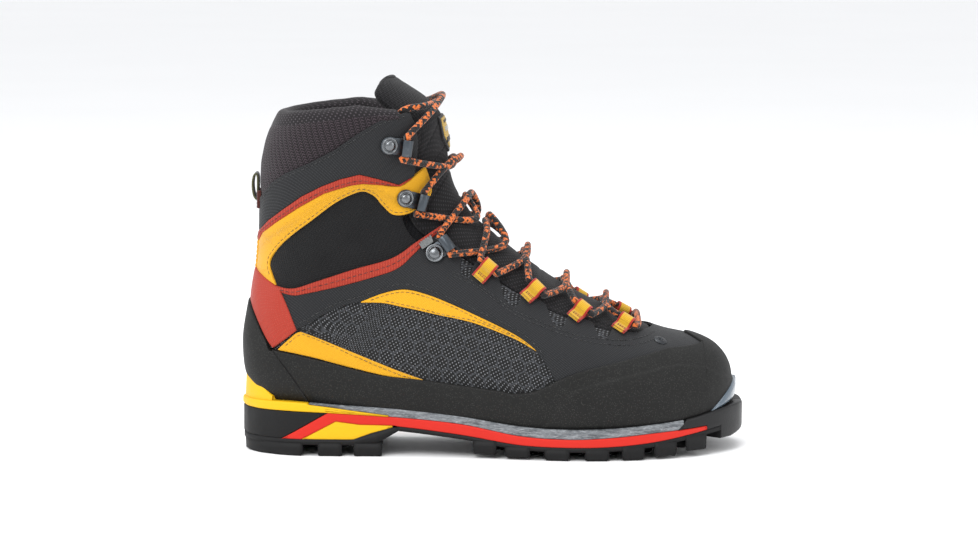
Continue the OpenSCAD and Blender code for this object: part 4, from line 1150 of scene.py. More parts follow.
lugs = []
for side, _ in BOTH:
    for x0, x1 in FRONT_LUGS:
        mid = (x0 + x1) / 2
        lugs.append(block("lug", lug_outline(x0, x1, side, LUG_REACH), float(ground(mid)),
                          float(under_plate(mid)) - 0.6))
for i in range(6):
    x = 6 + 21 * i
    y0, y1 = edge_y(x, False, LUG_REACH + 4.5), edge_y(x, True, LUG_REACH + 4.5)
    y = (y0 + y1) / 2
    w = (y1 - y0) / 2
    low, high = float(ground(x)) + 0.3, float(under_plate(x)) - 0.6
    for k, (t0, t1) in enumerate(((-1, -0.08), (0.08, 1))):
        arrow = [[x - 6.5, y + w * t0], [x - 3.5, y + w * (t0 + t1) / 2],
                 [x - 6.5 + (3 if k else 0), y + w * t1],
                 [x + 5 - (3 if k else 0), y + w * t1], [x + 7, y + w * (t0 + t1) / 2], [x + 5, y + w * t0]]
        lugs.append(block("lug", arrow, low, high, 0.7, 0.5))
lugs.append(slab("base", -57.5, 137.5, raised(under_plate, -2.6), raised(under_plate, 0.0), -0.1))
done(join("outsole_front_tread", lugs), "black_rubber", "lower", "outsole_forefoot")
lugs = []
for side, _ in BOTH:
    for x0, x1 in HEEL_LUGS:
        lugs.append(block("lug", lug_outline(x0, x1, side, LUG_REACH), 0.0, 8.4))
for x in (-131, -112, -93, -74):
    w = 8 if x > -130 else 6
    lugs.append(block("lug", [[x - 5, MID_Y - w], [x - 2, MID_Y], [x - 5, MID_Y + w], [x + 4, MID_Y + w],
                              [x + 7, MID_Y], [x + 4, MID_Y - w]], 0.4, 8.0, 0.7, 0.5))
lugs.append(slab("base", -151.6, -57, line_fn([[-72, 6.9], [-67, 9.5], [-57, 15.6]]),
                 raised(wedge_under, 0.2), -0.1))
done(join("outsole_heel_tread", lugs), "black_rubber", "lower", "outsole_heel")

# The toe: a dark lip from the slanted cut in the cushion round the front, deeper at the tip.
a, b = turn_at(110, False), turn_at(110, True) - 30
lip_low = lambda x: np.where(x > 137, np.maximum(ground(x) + 0.8, 9),
                             np.where(x > 128, under_plate(x) - 0.2, under_cushion(x)))
lip_top = lambda x: np.minimum(midsole_top(x) + 0.2, line_fn([[110, 16.8], [116, 23.6], [160, 60]])(x))
lip = band("toe_lip_side", b, a, lip_low, lip_top, 0.3, 16, 1.2, 420, relief=texture)
done(lip, "toe_rubber", "lower", "toe_lip", slot="black_rubber")


# ---------------------------------------------------------------- the upper
# Seam lines as the side view shows them, [x, z] from the heel to the toe.
FOOT = np.column_stack([SOLE[::-1, 0], SOLE[::-1, 3] + 0.2])
HEEL_SEAM = [
    [-160, 112], [-147.3, 94.2], [-134, 66.5], [-131.2, 62.8], [-123.5, 52.5], [-115, 40.2], [-109, 31.4]]
HEEL_FRONT = np.concatenate([HEEL_SEAM, FOOT[FOOT[:, 0] > -108]])
RAND_TOP = rounded([
    [-131.7, 63.8], [-116, 60.8], [-96.3, 56.2], [-70.5, 49.8], [-42.3, 46.8], [-23.7, 44.4], [3.9, 41],
    [12.3, 39.6], [24.9, 41.4], [37.5, 47.4], [50, 52.2], [69, 56.4], [88, 60], [104.7, 63], [112, 65]], 8)
RIDGE = np.array([
    [-200, -20], [30, 20], [44, 38.5], [50, 43.5], [75, 49.8], [101, 55.4], [112, 56.2], [126, 53.5],
    [136, 48], [150, 40]], float)
OVERLAY_LOW = rounded([
    [-119.5, 75.6], [-112, 79.2], [-101, 85.8], [-90, 90.6], [-79, 93.4], [-66, 98.2], [-53, 100.6],
    [-39, 97.4], [-24, 91.8], [-10, 85.4], [4, 79], [16, 72.4], [25, 65.2], [32, 56], [37.5, 47]], 8)
OVERLAY_TOP = [
    [-131, 101.6], [-127, 98.5], [-119, 96.8], [-112, 98], [-96, 101.4], [-83, 104.6], [-69, 108.4],
    [-60, 111.4], [-54, 115], [-49, 119.8], [-43.5, 125], [-38, 129.6], [-31.5, 134.6], [-20, 137]]
TRIM_TOP = [
    [-136, 104.6], [-128, 101.6], [-119, 101], [-107, 104.8], [-96, 108.4], [-82, 112.8], [-67.5, 116.6],
    [-60, 119.2], [-54, 122.6], [-49, 126.4], [-43.5, 130], [-38, 133.6], [-31.5, 137.6], [-20, 141]]
OVERLAY_EDGE = np.concatenate([[[-131, 101.2], [-128.5, 98.8], [-124.4, 88]], OVERLAY_LOW])
STRIPE_TOP = [
    [-79, 93.2], [-66, 98.2], [-53, 100.4], [-39, 97.4], [-24, 91.6], [-10, 85.4], [4, 78.8], [16, 72.4],
    [27.4, 64]]
STRIPE_LOW = [
    [-79, 92.6], [-66, 92.4], [-55, 90.2], [-44, 88], [-34, 85.8], [-13, 81.4], [6, 74.6], [16, 70.2],
    [27.4, 63.6]]
REAR_TOP = [
    [-128.7, 64.2], [-122, 70.6], [-116.7, 74.6], [-111, 73.6], [-86, 63.6], [-59.7, 53], [-42.3, 46.9]]
REAR_LOW = [
    [-128.7, 63.6], [-118, 61.8], [-107, 59.4], [-96.3, 56.6], [-84, 53.4], [-62, 48.4], [-42.3, 46.2]]
YELLOW_TOP = [
    [-152, 112], [-144.5, 117], [-142.5, 123], [-137.7, 132.6], [-127, 141.6], [-115, 150], [-100.5, 158.4],
    [-86, 163], [-77.7, 164.2], [-65, 163], [-56, 162], [-46, 168.6], [-40.5, 172.8], [-34, 175]]
PIPING_TOP = [
    [-152, 121], [-144, 127.5], [-139.5, 134], [-133.5, 141], [-125, 148], [-113.7, 156.4], [-102, 162.6],
    [-91, 167], [-79.5, 169.8], [-69, 167], [-56.7, 162.9], [-46, 168.8], [-40.5, 173], [-34, 175.2]]
CUFF_TOP = [
    [-150, 146], [-144, 150], [-139, 154], [-132, 163.4], [-123, 170], [-108, 177], [-94, 184.4],
    [-81, 193.6], [-66, 202.6], [-52, 206], [-44, 203]]

# The tongue fills the front up to these half angles, from the toe to the collar.
THROAT = np.array([[0, 12], [5, 24], [6, 36], [7, 42], [9, 46], [12, 48], [18, 50], [23, 46]], float)
TOE_PEAK, VAMP_TIP, EYESTAY_END = 4.2, 3.5, 5.3
RAND_SIDE = 4.9                # section from which the rand's edge is the seam line of the side view
PEAK_HALF = 19                 # half the angle between the vamp's corners
NOTCHES = ((6.72, 0.20), (7.85, 0.24), (9.05, 0.26), (10.25, 0.24))


def throat(s):
    return np.interp(s, THROAT[:, 0], THROAT[:, 1])


def rand_edge(s):
    """The angle of the rand's upper edge, which dips on each side of the toe."""
    s = np.asarray(s, float)
    side = cross_angle(np.maximum(s, RAND_SIDE), RAND_TOP)
    start = cross_angle(np.array(RAND_SIDE), RAND_TOP)
    toe = np.interp(s, [VAMP_TIP, 3.75, TOE_PEAK, RAND_SIDE], [PEAK_HALF, 27, 35, float(start)])
    return np.where(s < RAND_SIDE, toe, side)


def peak(s):
    """Half the angle that the toe cap's middle keeps where it rises between the vamp's corners."""
    t = np.clip((TOE_PEAK - np.asarray(s, float)) / (TOE_PEAK - VAMP_TIP), 0, 1)
    return PEAK_HALF * t ** 0.75


def eyestay(s):
    """The angle at which the eyestay ends beside the tongue, with a notch between two loops."""
    s = np.asarray(s, float)
    open_up = np.clip((s - EYESTAY_END) / 0.5, 0, 1) ** 0.5
    a = (throat(s) - 4) * open_up
    for at, half in NOTCHES:
        a = a + 12 * np.exp(-((s - at) / half) ** 4) * open_up
    return a


wrinkle = lambda q, u, v: 0.22 * noise(q, 34, 5) + 0.10 * noise(q, 13, 6)
soft_wave = lambda q, u, v: 0.30 * noise(q, 22, 8) + 0.15 * noise(q, 9, 9)


def wing_low(s):
    """The lower edge of the grey overlay and the vamp."""
    s = np.asarray(s, float)
    behind = cross_angle(np.maximum(s, 7.9), OVERLAY_EDGE)
    front = rand_edge(s) + 1.5
    share = np.clip((s - 7.7) / 0.35, 0, 1)
    under = cross_angle(np.maximum(s, 7.71), OVERLAY_LOW)
    return np.where(s < 7.7, front, np.where(s > 8.05, behind, front + (under - front) * share))


def wing(side):
    s_end = float(place(np.array([-127.6]), np.array([98.6]), LATERAL)[0][0])

    def locate(u, v):
        s = VAMP_TIP + (s_end - VAMP_TIP) * np.asarray(u)
        low = wing_low(s)
        inner = np.where(s < TOE_PEAK, peak(s), np.where(s < EYESTAY_END, 0, eyestay(s)))
        above = cross_angle(s, OVERLAY_TOP)
        inner = np.where(s > 9.5, np.maximum(inner, above), inner)
        inner = np.minimum(inner, low)
        return s, (low + (inner - low) * v) * side

    def joined(u):
        s = VAMP_TIP + (s_end - VAMP_TIP) * u
        return (s >= TOE_PEAK) & (s <= EYESTAY_END)

    return Panel(None, locate, 420, 60, -0.4, 1.15, 0.6, wrinkle, joined=joined)


wings = [wing(side) for side, _ in BOTH]
done(fuse("vamp_and_overlay", *wings), "overlay", "lower", "vamp", "eyestay_lateral", "eyestay_medial",
     "quarter_lateral", "quarter_medial", slot="overlay")

for side, tag in BOTH:
    # The fabric body that shows between the panels.
    def body(u, v, side=side):
        s = 4.9 + (15.2 - 4.9) * np.asarray(u)
        low = cross_angle(s, HEEL_FRONT)
        high = np.minimum(np.maximum(np.clip((s - 5.2) * 30, 0, 1) * (throat(s) - 1),
                                     np.where(s > 10.2, cross_angle(s, TRIM_TOP), 0)), low)
        return s, (low + (high - low) * v) * side

    done(Panel("side_fabric_" + tag, body, 220, 70, -1.6, -0.15, 0.5, soft_wave).obj, "side_fabric", "ankle",
         "side_mesh_" + tag, slot="side_fabric")
    front = Panel("front_stripe_visual_" + tag, strip(STRIPE_LOW, STRIPE_TOP, side), 150, 14, -0.4, 0.95, 0.5,
                  wrinkle)
    done(front.obj, "yellow_fabric", "lower", "front_stripe_" + tag, slot="yellow_fabric")
    rear = Panel("rear_stripe_visual_" + tag, strip(REAR_LOW, REAR_TOP, side), 150, 18, -0.4, 0.95, 0.5,
                 wrinkle)
    done(rear.obj, "yellow_fabric", "lower", "rear_stripe_" + tag, slot="yellow_fabric")
    trim = Panel("ankle_trim_visual_" + tag, strip(OVERLAY_TOP[:-1], TRIM_TOP[:-1], side), 180, 12, -0.4, 1.6,
                 0.9, lambda q, u, v: 0.25 * np.sin(v * np.pi))
    done(trim.obj, "red_fabric", "ankle", "ankle_trim_" + tag, slot="red_fabric")
    runs = [front.seam(inset=1.6, far=True, u=(0.06, 0.94)), rear.seam(inset=1.8, far=True, u=(0.1, 0.94)),
            front.seam(inset=1.4, u=(0.14, 0.9))]
    done(stitches("stripe_stitches_" + tag, runs), "yellow_thread", "lower", slot="yellow_fabric")
    done(stitches("trim_stitches_" + tag, [trim.seam(v=0.5, u=(0.03, 0.97), lift=0.25)], 2.6, 0.9, 0.5),
         "red_thread", "ankle", slot="red_fabric")


def halves(u):
    """For a wrap from one side to the other: the share, 1 at both ends and 0 halfway, and the side."""
    w = np.asarray(u) * 2 - 1
    return np.abs(w), np.where(w < 0, LATERAL, MEDIAL)


# The rand: a wrap from one side round the toe to the other, with the middle of its edge raised.
RAND_END = 15.2                # section of both its ends


def rand_wrap(u, v):
    w, side = halves(u)
    s = RAND_END * w ** 1.15
    low = cross_angle(s, HEEL_FRONT)
    top = np.where(s < VAMP_TIP, 0, rand_edge(s))
    top = np.minimum(top, low)
    return s, (low + (top - low) * v) * side


def rand_joined(u):
    return RAND_END * halves(u)[0] ** 1.15 < VAMP_TIP


def rand_relief(q, u, v):
    x, z = q[..., 0], q[..., 2]
    below = np.clip((np.interp(x, RIDGE[:, 0], RIDGE[:, 1]) - z) / 1.6, 0, 1)
    below = below * below * (3 - 2 * below)
    return 0.7 * below + 0.12 * noise(q, 26, 12)


def rand_peak(u, v):
    s = VAMP_TIP - 0.04 + (TOE_PEAK - VAMP_TIP + 0.04) * np.asarray(u)
    return s, peak(s) * (1 - 2 * np.asarray(v))


main = Panel(None, rand_wrap, 560, 44, -0.4, 2.5, 0.9, rand_relief, joined=rand_joined)
cap = Panel(None, rand_peak, 26, 24, -0.4, 2.5, 0.9, rand_relief, open_u=(True, False))
done(fuse("rand_front_visual", main, cap), "rand_rubber", "lower", "rand_front")

HEEL_LOW = np.concatenate([[[-160, 57], [-151, 49.4], [-134, 35.4], [-127, 33]],
                           FOOT[FOOT[:, 0] > -124] + [0, 0.3]])
HEEL_RAND_TOP = np.array([
    [-160, 118], [-147.3, 94.6], [-142, 83], [-137, 72.5], [-134, 67], [-131.2, 63.4], [-123.5, 52.9],
    [-115, 40.8], [-109.5, 32.2]])
FRONT_EDGE = HEEL_RAND_TOP[:4:-1]
fine = np.linspace(0, 1, 40)
edge_points = curve(FRONT_EDGE, fine * (len(FRONT_EDGE) - 1))
EDGE_S, EDGE_A = place(edge_points[:, 0], edge_points[:, 1], LATERAL)
EDGE_A = np.abs(EDGE_A)


def heel_wrap(u, v):
    """The heel's rand, stretched between the sole, its slanting front edges and its top edge."""
    w, side = halves(u)
    back = 1 - w
    v = np.asarray(v)
    a_low = EDGE_A[0] + (180 - EDGE_A[0]) * back
    a_top = EDGE_A[-1] + (180 - EDGE_A[-1]) * back
    near = np.clip(back * 9, 0, 1)
    s_low = EDGE_S[0] + near * (cross_section(a_low, HEEL_LOW, 11.5, 19) - EDGE_S[0])
    s_top = EDGE_S[-1] + near * (cross_section(a_top, HEEL_RAND_TOP, EDGE_S[-1], 19) - EDGE_S[-1])
    half = np.full(np.shape(back), 180.0)
    end_low = cross_section(half, HEEL_LOW, 11.5, 19)
    end_top = cross_section(half, HEEL_RAND_TOP, EDGE_S[-1], 19)
    out = []
    for low, top, front, corners in (
            (s_low, s_top, np.interp(v, fine, EDGE_S), (EDGE_S[0], EDGE_S[-1], end_low, end_top)),
            (a_low, a_top, np.interp(v, fine, EDGE_A), (EDGE_A[0], EDGE_A[-1], 180, 180))):
        rear = corners[2] + (corners[3] - corners[2]) * v
        ahead = (1 - v) * corners[0] + v * corners[1]
        behind = (1 - v) * corners[2] + v * corners[3]
        flat = (1 - back) * ahead + back * behind
        out.append((1 - v) * low + v * top + (1 - back) * front + back * rear - flat)
    return out[0], out[1] * side


done(Panel("rand_heel_visual", heel_wrap, 260, 40, -0.4, 3.0, 1.0,
           lambda q, u, v: 0.35 * np.sin(np.clip(v, 0, 1) * np.pi) + 0.1 * noise(q, 22, 14)).obj,
     "rand_rubber", "lower", "rand_heel")

STRIP_TOP = [
    [-160, 117], [-150, 114], [-144, 111.4], [-137, 106.5], [-131, 102.8], [-127, 100.4], [-122, 88.5],
    [-117.3, 76.2], [-110, 60]]
STRIP_LOW = [
    [-160, 118], [-147.3, 95.4], [-142, 83.8], [-137, 73.4], [-134, 68], [-131.4, 64.8], [-124, 70.6],
    [-117.3, 76], [-110, 82]]


def strip_wrap(u, v):
    w, side = halves(u)
    start = float(place(-117.6, 76.1, LATERAL)[1])
    a = start + (180 - start) * (1 - w)
    s0 = cross_section(a, STRIP_LOW, 13.2, 19.5)
    s1 = np.maximum(cross_section(a, STRIP_TOP, 13.2, 19.5), s0)
    return s0 + (s1 - s0) * v, a * side


strip_piece = Panel("heel_strip_visual", strip_wrap, 240, 36, -0.4, 2.2, 1.0,
                    lambda q, u, v: 0.5 * np.sin(np.clip(v, 0, 1) * np.pi) + 0.1 * noise(q, 18, 15))
done(strip_piece.obj, "red_rubber", "lower", "heel_strip")

# A glossy insert under the tip of the rand, pointed at its rear ends.
INSERT_TOP = [[120, 20], [128.7, 27.4], [135, 33], [140, 37.8], [145, 43.5], [150, 46]]
INSERT_LOW = [[120, 24], [128.7, 27.2], [135, 28.6], [140, 30], [145, 33], [150, 34]]
INSERT_END = 3.25              # section of its rear points


def insert_wrap(u, v):
    w, side = halves(u)
    s = INSERT_END * w
    low = cross_angle(s, INSERT_LOW)
    top = np.minimum(cross_angle(s, INSERT_TOP), low)
    return s, (low + (top - low) * v) * side


done(Panel("toe_insert_visual", insert_wrap, 150, 20, 0.4, 4.3, 1.1,
           lambda q, u, v: 0.5 * np.sin(v * np.pi)).obj, "toe_tpu", "lower", "toe_insert")

# A double row of stitches along the eyestay, and one along the overlay's lower edge.
THREAD_TOP = 1.22
STITCH_LINE = rounded([
    [-25, 111], [-13, 105.6], [0, 96.6], [12, 88.2], [27, 81.6], [50, 73], [75, 69], [88, 69.4], [97, 71]],
                      10)
for side, tag in BOTH:
    runs = []
    for gap in (0.0, 2.6):
        s, a = place(STITCH_LINE[:, 0] + gap * 0.5, STITCH_LINE[:, 1] - gap, side)
        runs.append((shell(s, a, np.full(s.shape, THREAD_TOP)), normal(s, a)))
    done(stitches("eyestay_stitches_" + tag, runs, 2.1, 0.9, 0.5, 0.3), "dark_thread", "lower",
         slot="overlay")
    low = np.array([[x, z + 3.0] for x, z in OVERLAY_LOW[4:-10]])
    s, a = place(low[:, 0], low[:, 1], side)
    done(stitches("overlay_stitches_" + tag, [(shell(s, a, np.full(s.shape, THREAD_TOP)), normal(s, a))], 2.1,
                  0.9, 0.5, 0.3),
         "dark_thread", "lower", slot="overlay")


# ---------------------------------------------------------------- ankle and cuff
ANKLE_UNDER = [
    [-152, 108], [-145, 110.5], [-131, 101], [-127, 98], [-119, 96.5], [-96, 104], [-69, 111], [-54, 118],
    [-43.5, 127], [-31.5, 135], [-20, 138]]
ANKLE_OVER = [
    [-152, 124], [-142, 128], [-127, 138], [-115, 146], [-100, 155], [-86, 160], [-65, 160], [-46, 166],
    [-30, 172]]
crease = lambda q, u, v: (0.9 * np.exp(-((v - 0.30) / 0.10) ** 2) + 0.8 * np.exp(-((v - 0.62) / 0.10) ** 2)) \
    * (0.4 + 0.6 * np.cos(np.radians((u - 0.5) * 300)) ** 2) + 0.25 * noise(q, 16, 20)
done(Panel("ankle_fabric", around(52, ANKLE_UNDER, ANKLE_OVER, 10.2, 22), 300, 70, -2.6, -0.5, 0.6,
           crease).obj,
     "flex_fabric", "ankle", "ankle_flex_panel")

BAND_OUT = [
    [-130.2, 102.2], [-135, 105], [-141, 108.6], [-146, 113], [-148, 121], [-145, 129], [-136, 136.4],
    [-127, 141.8], [-115, 150.2], [-100.5, 158.5], [-86, 163.1], [-77.7, 164.3], [-68, 163.4], [-61, 162.2],
    [-55, 162.4], [-50, 165.4], [-46, 168.7], [-43, 171.2], [-41, 172.6]]
BAND_IN = [
    [-129.9, 102.6], [-131.6, 106.5], [-133, 110.5], [-133.6, 114], [-133.2, 117.4], [-131, 121.2],
    [-125.6, 127.6], [-118.6, 134], [-108, 142], [-95, 152], [-84.5, 157.6], [-77, 159.4], [-70.5, 156],
    [-66, 150.4], [-59.7, 144.8], [-50, 145.4], [-41.5, 151], [-37.2, 158.5], [-40.6, 172.2]]
for side, tag in BOTH:
    yellow = Panel("cuff_band_visual_" + tag, strip(BAND_IN, BAND_OUT, side), 260, 26, -1.0, 1.0, 0.6,
                   wrinkle)
    done(yellow.obj, "yellow_fabric", "ankle", "cuff_band", slot="yellow_fabric")
    done(stitches("cuff_band_stitches_" + tag, [yellow.seam(inset=1.7, u=(0.08, 0.94))], 2.3, 0.9, 0.5),
         "yellow_thread", "ankle", slot="yellow_fabric")

back = np.array(180.0)
seam_low = float(cross_section(back, STRIP_TOP, 13.2, 19.5)) - 0.3
seam_high = float(cross_section(back, YELLOW_TOP, 12, 22.5)) + 0.2
tape = Panel("cuff_back_seam", centred(seam_low, seam_high, 5, 180), 60, 16, -0.6, 1.9, 0.7)
done(tape.obj, "yellow_fabric", "ankle", slot="yellow_fabric")
done(stitches("cuff_back_stitches", [tape.seam(inset=1.1), tape.seam(inset=1.1, far=True)], 2.0, 0.8, 0.45),
     "yellow_thread", "ankle", slot="yellow_fabric")

piping = Panel("cuff_trim_visual", around(49, YELLOW_TOP, PIPING_TOP, 12, 22.5), 320, 16, -0.6, 1.7, 0.9,
               lambda q, u, v: 0.3 * np.sin(v * np.pi))
done(piping.obj, "red_fabric", "ankle", "cuff_trim")
done(stitches("cuff_trim_stitches", [piping.seam(v=0.42, u=(0.06, 0.94), count=500, lift=0.28)], 2.6, 0.9,
              0.5),
     "red_thread", "ankle", slot="red_fabric")

CUFF_FRONT_A = 47.0


def overlay_wrap(u, v):
    """From the piping up to the knit, round the back."""
    a = CUFF_FRONT_A + (360 - 2 * CUFF_FRONT_A) * np.asarray(u)
    s0, s1 = cross_section(a, PIPING_TOP, 12, 22.7), cross_section(a, CUFF_TOP, 12, 22.9)
    return s0 + (s1 - s0) * v, a


grey = Panel("cuff_overlay_visual", overlay_wrap, 360, 44, -0.8, 1.15, 0.6,
             lambda q, u, v: 0.45 * noise(q, 30, 21) + 0.15 * noise(q, 11, 22))
done(grey.obj, "overlay", "cuff", "cuff_overlay")
done(stitches("cuff_overlay_stitches", [grey.seam(inset=2.2, far=True, u=(0.02, 0.98), count=500)], 2.1, 0.9,
              0.5),
     "dark_thread", "cuff", slot="overlay")


def above(s, a):
    return unit(skin(s, a) - skin(s - 0.08, a))


def collar(name, a0, rows, bulge, start=None, n=300):
    """The collar from a list of steps: (section share, distance off the skin, height above the rim)."""
    a = np.linspace(a0, 360 - a0, n)
    rim_s = cross_section(a, [[-160, 203.4], [-128, 203.4], [-80, 206.6], [-50, 204.6], [-30, 203]], 12,
                          22.95)
    share = 1.0
    if start is not None:
        share = np.clip((rim_s - cross_section(a, start, 12, 22.9) + 0.3) / -rows[0][0], 0.15, 1)
    points = []
    for low, d, up in rows:
        s = rim_s + low * share
        points.append(shell(s, a, np.full(a.shape, d)) + above(s, a) * up)
    last = len(points) - 1
    p = curve(np.stack(points).reshape(len(points), -1), np.linspace(0, last, last * 6 + 1))
    p = p.reshape(-1, n, 3).transpose(1, 0, 2)
    du, dv = np.gradient(p, axis=0), np.gradient(p, axis=1)
    nn = unit(np.cross(du, dv))
    out = np.sign(np.sum(nn[n // 2, 3] * (p[n // 2, 3] - p[n // 2].mean(0))))
    ends = np.clip(np.minimum(np.arange(n), np.arange(n)[::-1]) / 12, 0, 1)[:, None]
    p = p + nn * (bulge(p) * ends)[..., None] * out
    along, across = arc(p, 0), arc(p, 1)
    return make(name, p, grid_faces(*p.shape[:2]), np.stack([along, across], -1))


# The padded collar: knit outside, a dotted band round the top, and a soft lining down inside.
puffs = lambda p: 0.5 * noise(p, 30, 25) + 0.22 * noise(p, 11, 26)
knit_rows = [
    (-4.6, -0.4, 0), (-3.8, 0.2, 0), (-3.0, 0.9, 0), (-2.2, 1.4, 0), (-1.5, 1.5, 0), (-0.9, 1.2, 0),
    (-0.62, 0.2, 0)]
edge_rows = [
    (-0.66, -0.3, 0), (-0.6, 0.5, 0), (-0.45, 0.9, 0), (-0.2, 0.9, 0), (0, 0.5, 0.6), (0, -0.9, 2.6),
    (0, -3.2, 3.9), (0, -5.8, 3.6), (0, -7.9, 1.9), (0, -8.9, -0.6), (-0.35, -9.3, 0)]
inside_rows = [
    (-0.3, -8.7, 0), (-0.5, -9.7, 0), (-1.2, -10.6, 0), (-2.2, -10.9, 0), (-3.4, -10.2, 0), (-4.8, -9.4, 0),
    (-6.2, -9, 0), (-7.6, -8.6, 0), (-9.0, -8.4, 0)]
knit = collar("collar_knit_visual", 57, knit_rows, puffs, CUFF_TOP)
edge = collar("collar_edge_visual", 55, edge_rows, lambda p: 0.25 * noise(p, 14, 28))
slack = lambda p: -1.0 * noise(p, 34, 27) - 0.3 * noise(p, 12, 29)
inside = collar("collar_lining_visual", 55, inside_rows, slack)
done(knit, "collar_knit", "cuff", "collar_mesh")
done(edge, "collar_edge", "cuff", "collar_band")
done(inside, "collar_lining", "ankle", "collar_padding", slot="lining")


# The lining below: heel, sides and toe in one skin, seen through the shaft.
def inner_skin(u, v):
    s = 0.9 + (18.6 - 0.9) * np.asarray(u)
    low = np.where(s < 15.0, cross_angle(np.minimum(s, 15.0), FOOT + [0, 3.0]), 180)
    low = np.where(s > 14.4, low + (180 - low) * np.clip((s - 14.4) / 0.5, 0, 1), low)
    return s, low * (1 - 2 * np.asarray(v))


def lining_mesh():
    u, v = np.meshgrid(np.linspace(0, 1, 150), np.linspace(0, 1, 110), indexing="ij")
    s, a = inner_skin(u, v)
    fold = -0.5 * noise(skin(s, a), 26, 31)
    p = shell(s, a, -7.6 + fold)
    along, across = arc(p, 0), arc(p, 1)
    keep = np.abs(a) > np.where(s > 5.4, throat(s) - 6, -1)
    faces = [f for f in grid_faces(*s.shape) if keep.ravel()[f].all()]
    return make("lining_visual", p, faces, np.stack([along, across], -1))


done(lining_mesh(), "lining", "lower", "lining_toe", "lining_lateral", "lining_medial", "lining_heel")

# The footbed, dished under the heel, with a raised rim.
u = np.linspace(turn_at(119), turn_at(-137), 120)
left, nl = rim(u)
right, nr = rim(30 - u)
t = np.linspace(0, 1, 40)
a, b = left - nl * 13.5, right - nr * 13.5
grid = a[:, None] + (b - a)[:, None] * t[None, :, None]
bumps = 0.25 * noise(np.dstack([grid, grid[..., :1]]), 30, 33)
high = midsole_top(grid[..., 0]) + 7.3 + 3.6 * np.abs(2 * t - 1)[None] ** 4 + bumps
top = np.dstack([grid, high])
done(pad("footbed_visual", top, 3.8, (0, 0, 1), 0.0, 2.5), "footbed_foam", "footbed", "footbed")

# ---------------------------------------------------------------- the tongue
# Rows above the instep: height in the middle, front x, back x, half width, drop at the sides.
TIP_ROWS = np.array([
    [207.2, -35.9, -58.9, 30.7, 5.0],
    [211, -39.5, -67.0, 28.8, 2.6],
    [214.7, -44.6, -72.2, 27.3, 1.2],
    [218.5, -50.3, -73.5, 25, 0.6],
    [222.5, -56.0, -72, 21, 1.2],
    [225.5, -59.3, -69.5, 15.5, 2.6],
    [227.3, -61.6, -66.5, 9, 4.2]])


def tongue_rows(n=61):
    """The tongue's outer surface: rows of points from the instep to its tip, from side to side."""
    v = np.linspace(-1, 1, n)
    rows = [shell(np.full(n, s), v * (throat(s) - 0.5), np.full(n, -0.8 - 0.6 * np.clip((s - 9) / 4, 0, 1)))
            for s in np.arange(5.3, 21.3, 0.8)]
    phi = v * np.pi * 0.46
    for z, front, back, half, drop in TIP_ROWS:
        x = back + (front - back) * np.cos(phi)
        rows.append(np.column_stack([x, MID_Y - half * np.sin(phi), z - drop * (1 - np.cos(phi))]))
    return np.stack(rows)


def dense(rows, u):
    flat = rows.reshape(len(rows), -1)
    return curve(flat, u).reshape(len(u), rows.shape[1], 3)


rows = tongue_rows()
SPLIT = 18.0                   # row where the folding top begins
last = len(rows) - 1
lower_part = dense(rows, np.linspace(0, SPLIT, 260))
upper_part = dense(rows, np.linspace(SPLIT, last, 130))


def quilting(p, along, across):
    """Shallow channels across the tongue, a hem round it, and creases where it bends."""
    hem = np.minimum(across, across[:, -1:] - across)
    groove = -0.7 * np.exp(-((hem - 5.0) / 0.7) ** 2)
    ribs = -0.45 * np.exp(-((np.mod(along, 17.0) - 8.5) / 0.9) ** 2) * (hem > 6)
    return groove + ribs + 0.45 * noise(p, 26, 41) + 0.16 * noise(p, 9, 42)


def tip_hem(p, along, across):
    hem = np.minimum(np.minimum(across, across[:, -1:] - across), along[-1:] - along)
    return -0.7 * np.exp(-((hem - 4.2) / 0.7) ** 2) + 0.35 * noise(p, 20, 43)


lower = pad("tongue_visual", lower_part, 6.0, (1, 0, 0.6), 0.9, 3.0, (False, True), quilting)
done(lower, "tongue_mesh", "ankle", "tongue_instep", "tongue_bend", "tongue_shin",
               slot="tongue_fabric")
tip = pad("tongue_top_visual", upper_part, 6.0, (1, 0, 0.3), 0.9, 3.0, (True, False), tip_hem)
done(tip, "tongue_fabric", "top", "tongue_tip", slot="tongue_fabric")


def shield(s0, s1, half):
    """A place on the front of the tongue that narrows downwards."""

    def locate(u, v):
        u = np.asarray(u)
        return s0 + (s1 - s0) * u, half * np.clip(0.25 + 1.5 * u ** 0.8, 0, 1) * (1 - 2 * np.asarray(v))

    return locate


done(Panel("badge_base", shield(15.4, 20.2, 17.5), 60, 40, -1.6, 0.9, 0.8).obj, "badge_dark", "cuff",
     "tongue_patch", slot="patch")
done(Panel("badge_field", shield(15.8, 19.9, 14.8), 60, 40, 0.2, 1.35, 0.5).obj, "badge_yellow", "cuff",
     slot="patch")
for i, (s0, s1) in enumerate(((16.6, 17.2), (17.9, 18.5), (19.1, 19.5))):
    done(Panel("badge_bar_%d" % i, centred(s0, s1, 11.5), 12, 30, 0.2, 1.7, 0.35).obj,
         "badge_pale" if i == 1 else "badge_dark", "cuff", slot="patch")


# ---------------------------------------------------------------- hooks, loops and eyelets
LACE_R = 2.0
ON_TOP, PLATE = 1.6, 1.0
CHANNEL = LACE_R + 0.7
HOOKS = ((-62, 187, -8), (-53, 154.5, -15))
LOCK = (-35, 121.5, 35)
HOOK_REACH, LOCK_REACH, HOOK_WIDTH, LOOP_WIDTH = 9.5, 8.5, 10.0, 9.0
LOOPS = ((-4, 112, 52), (24, 98, 50), (52, 85, 55), (78, 76, 62))


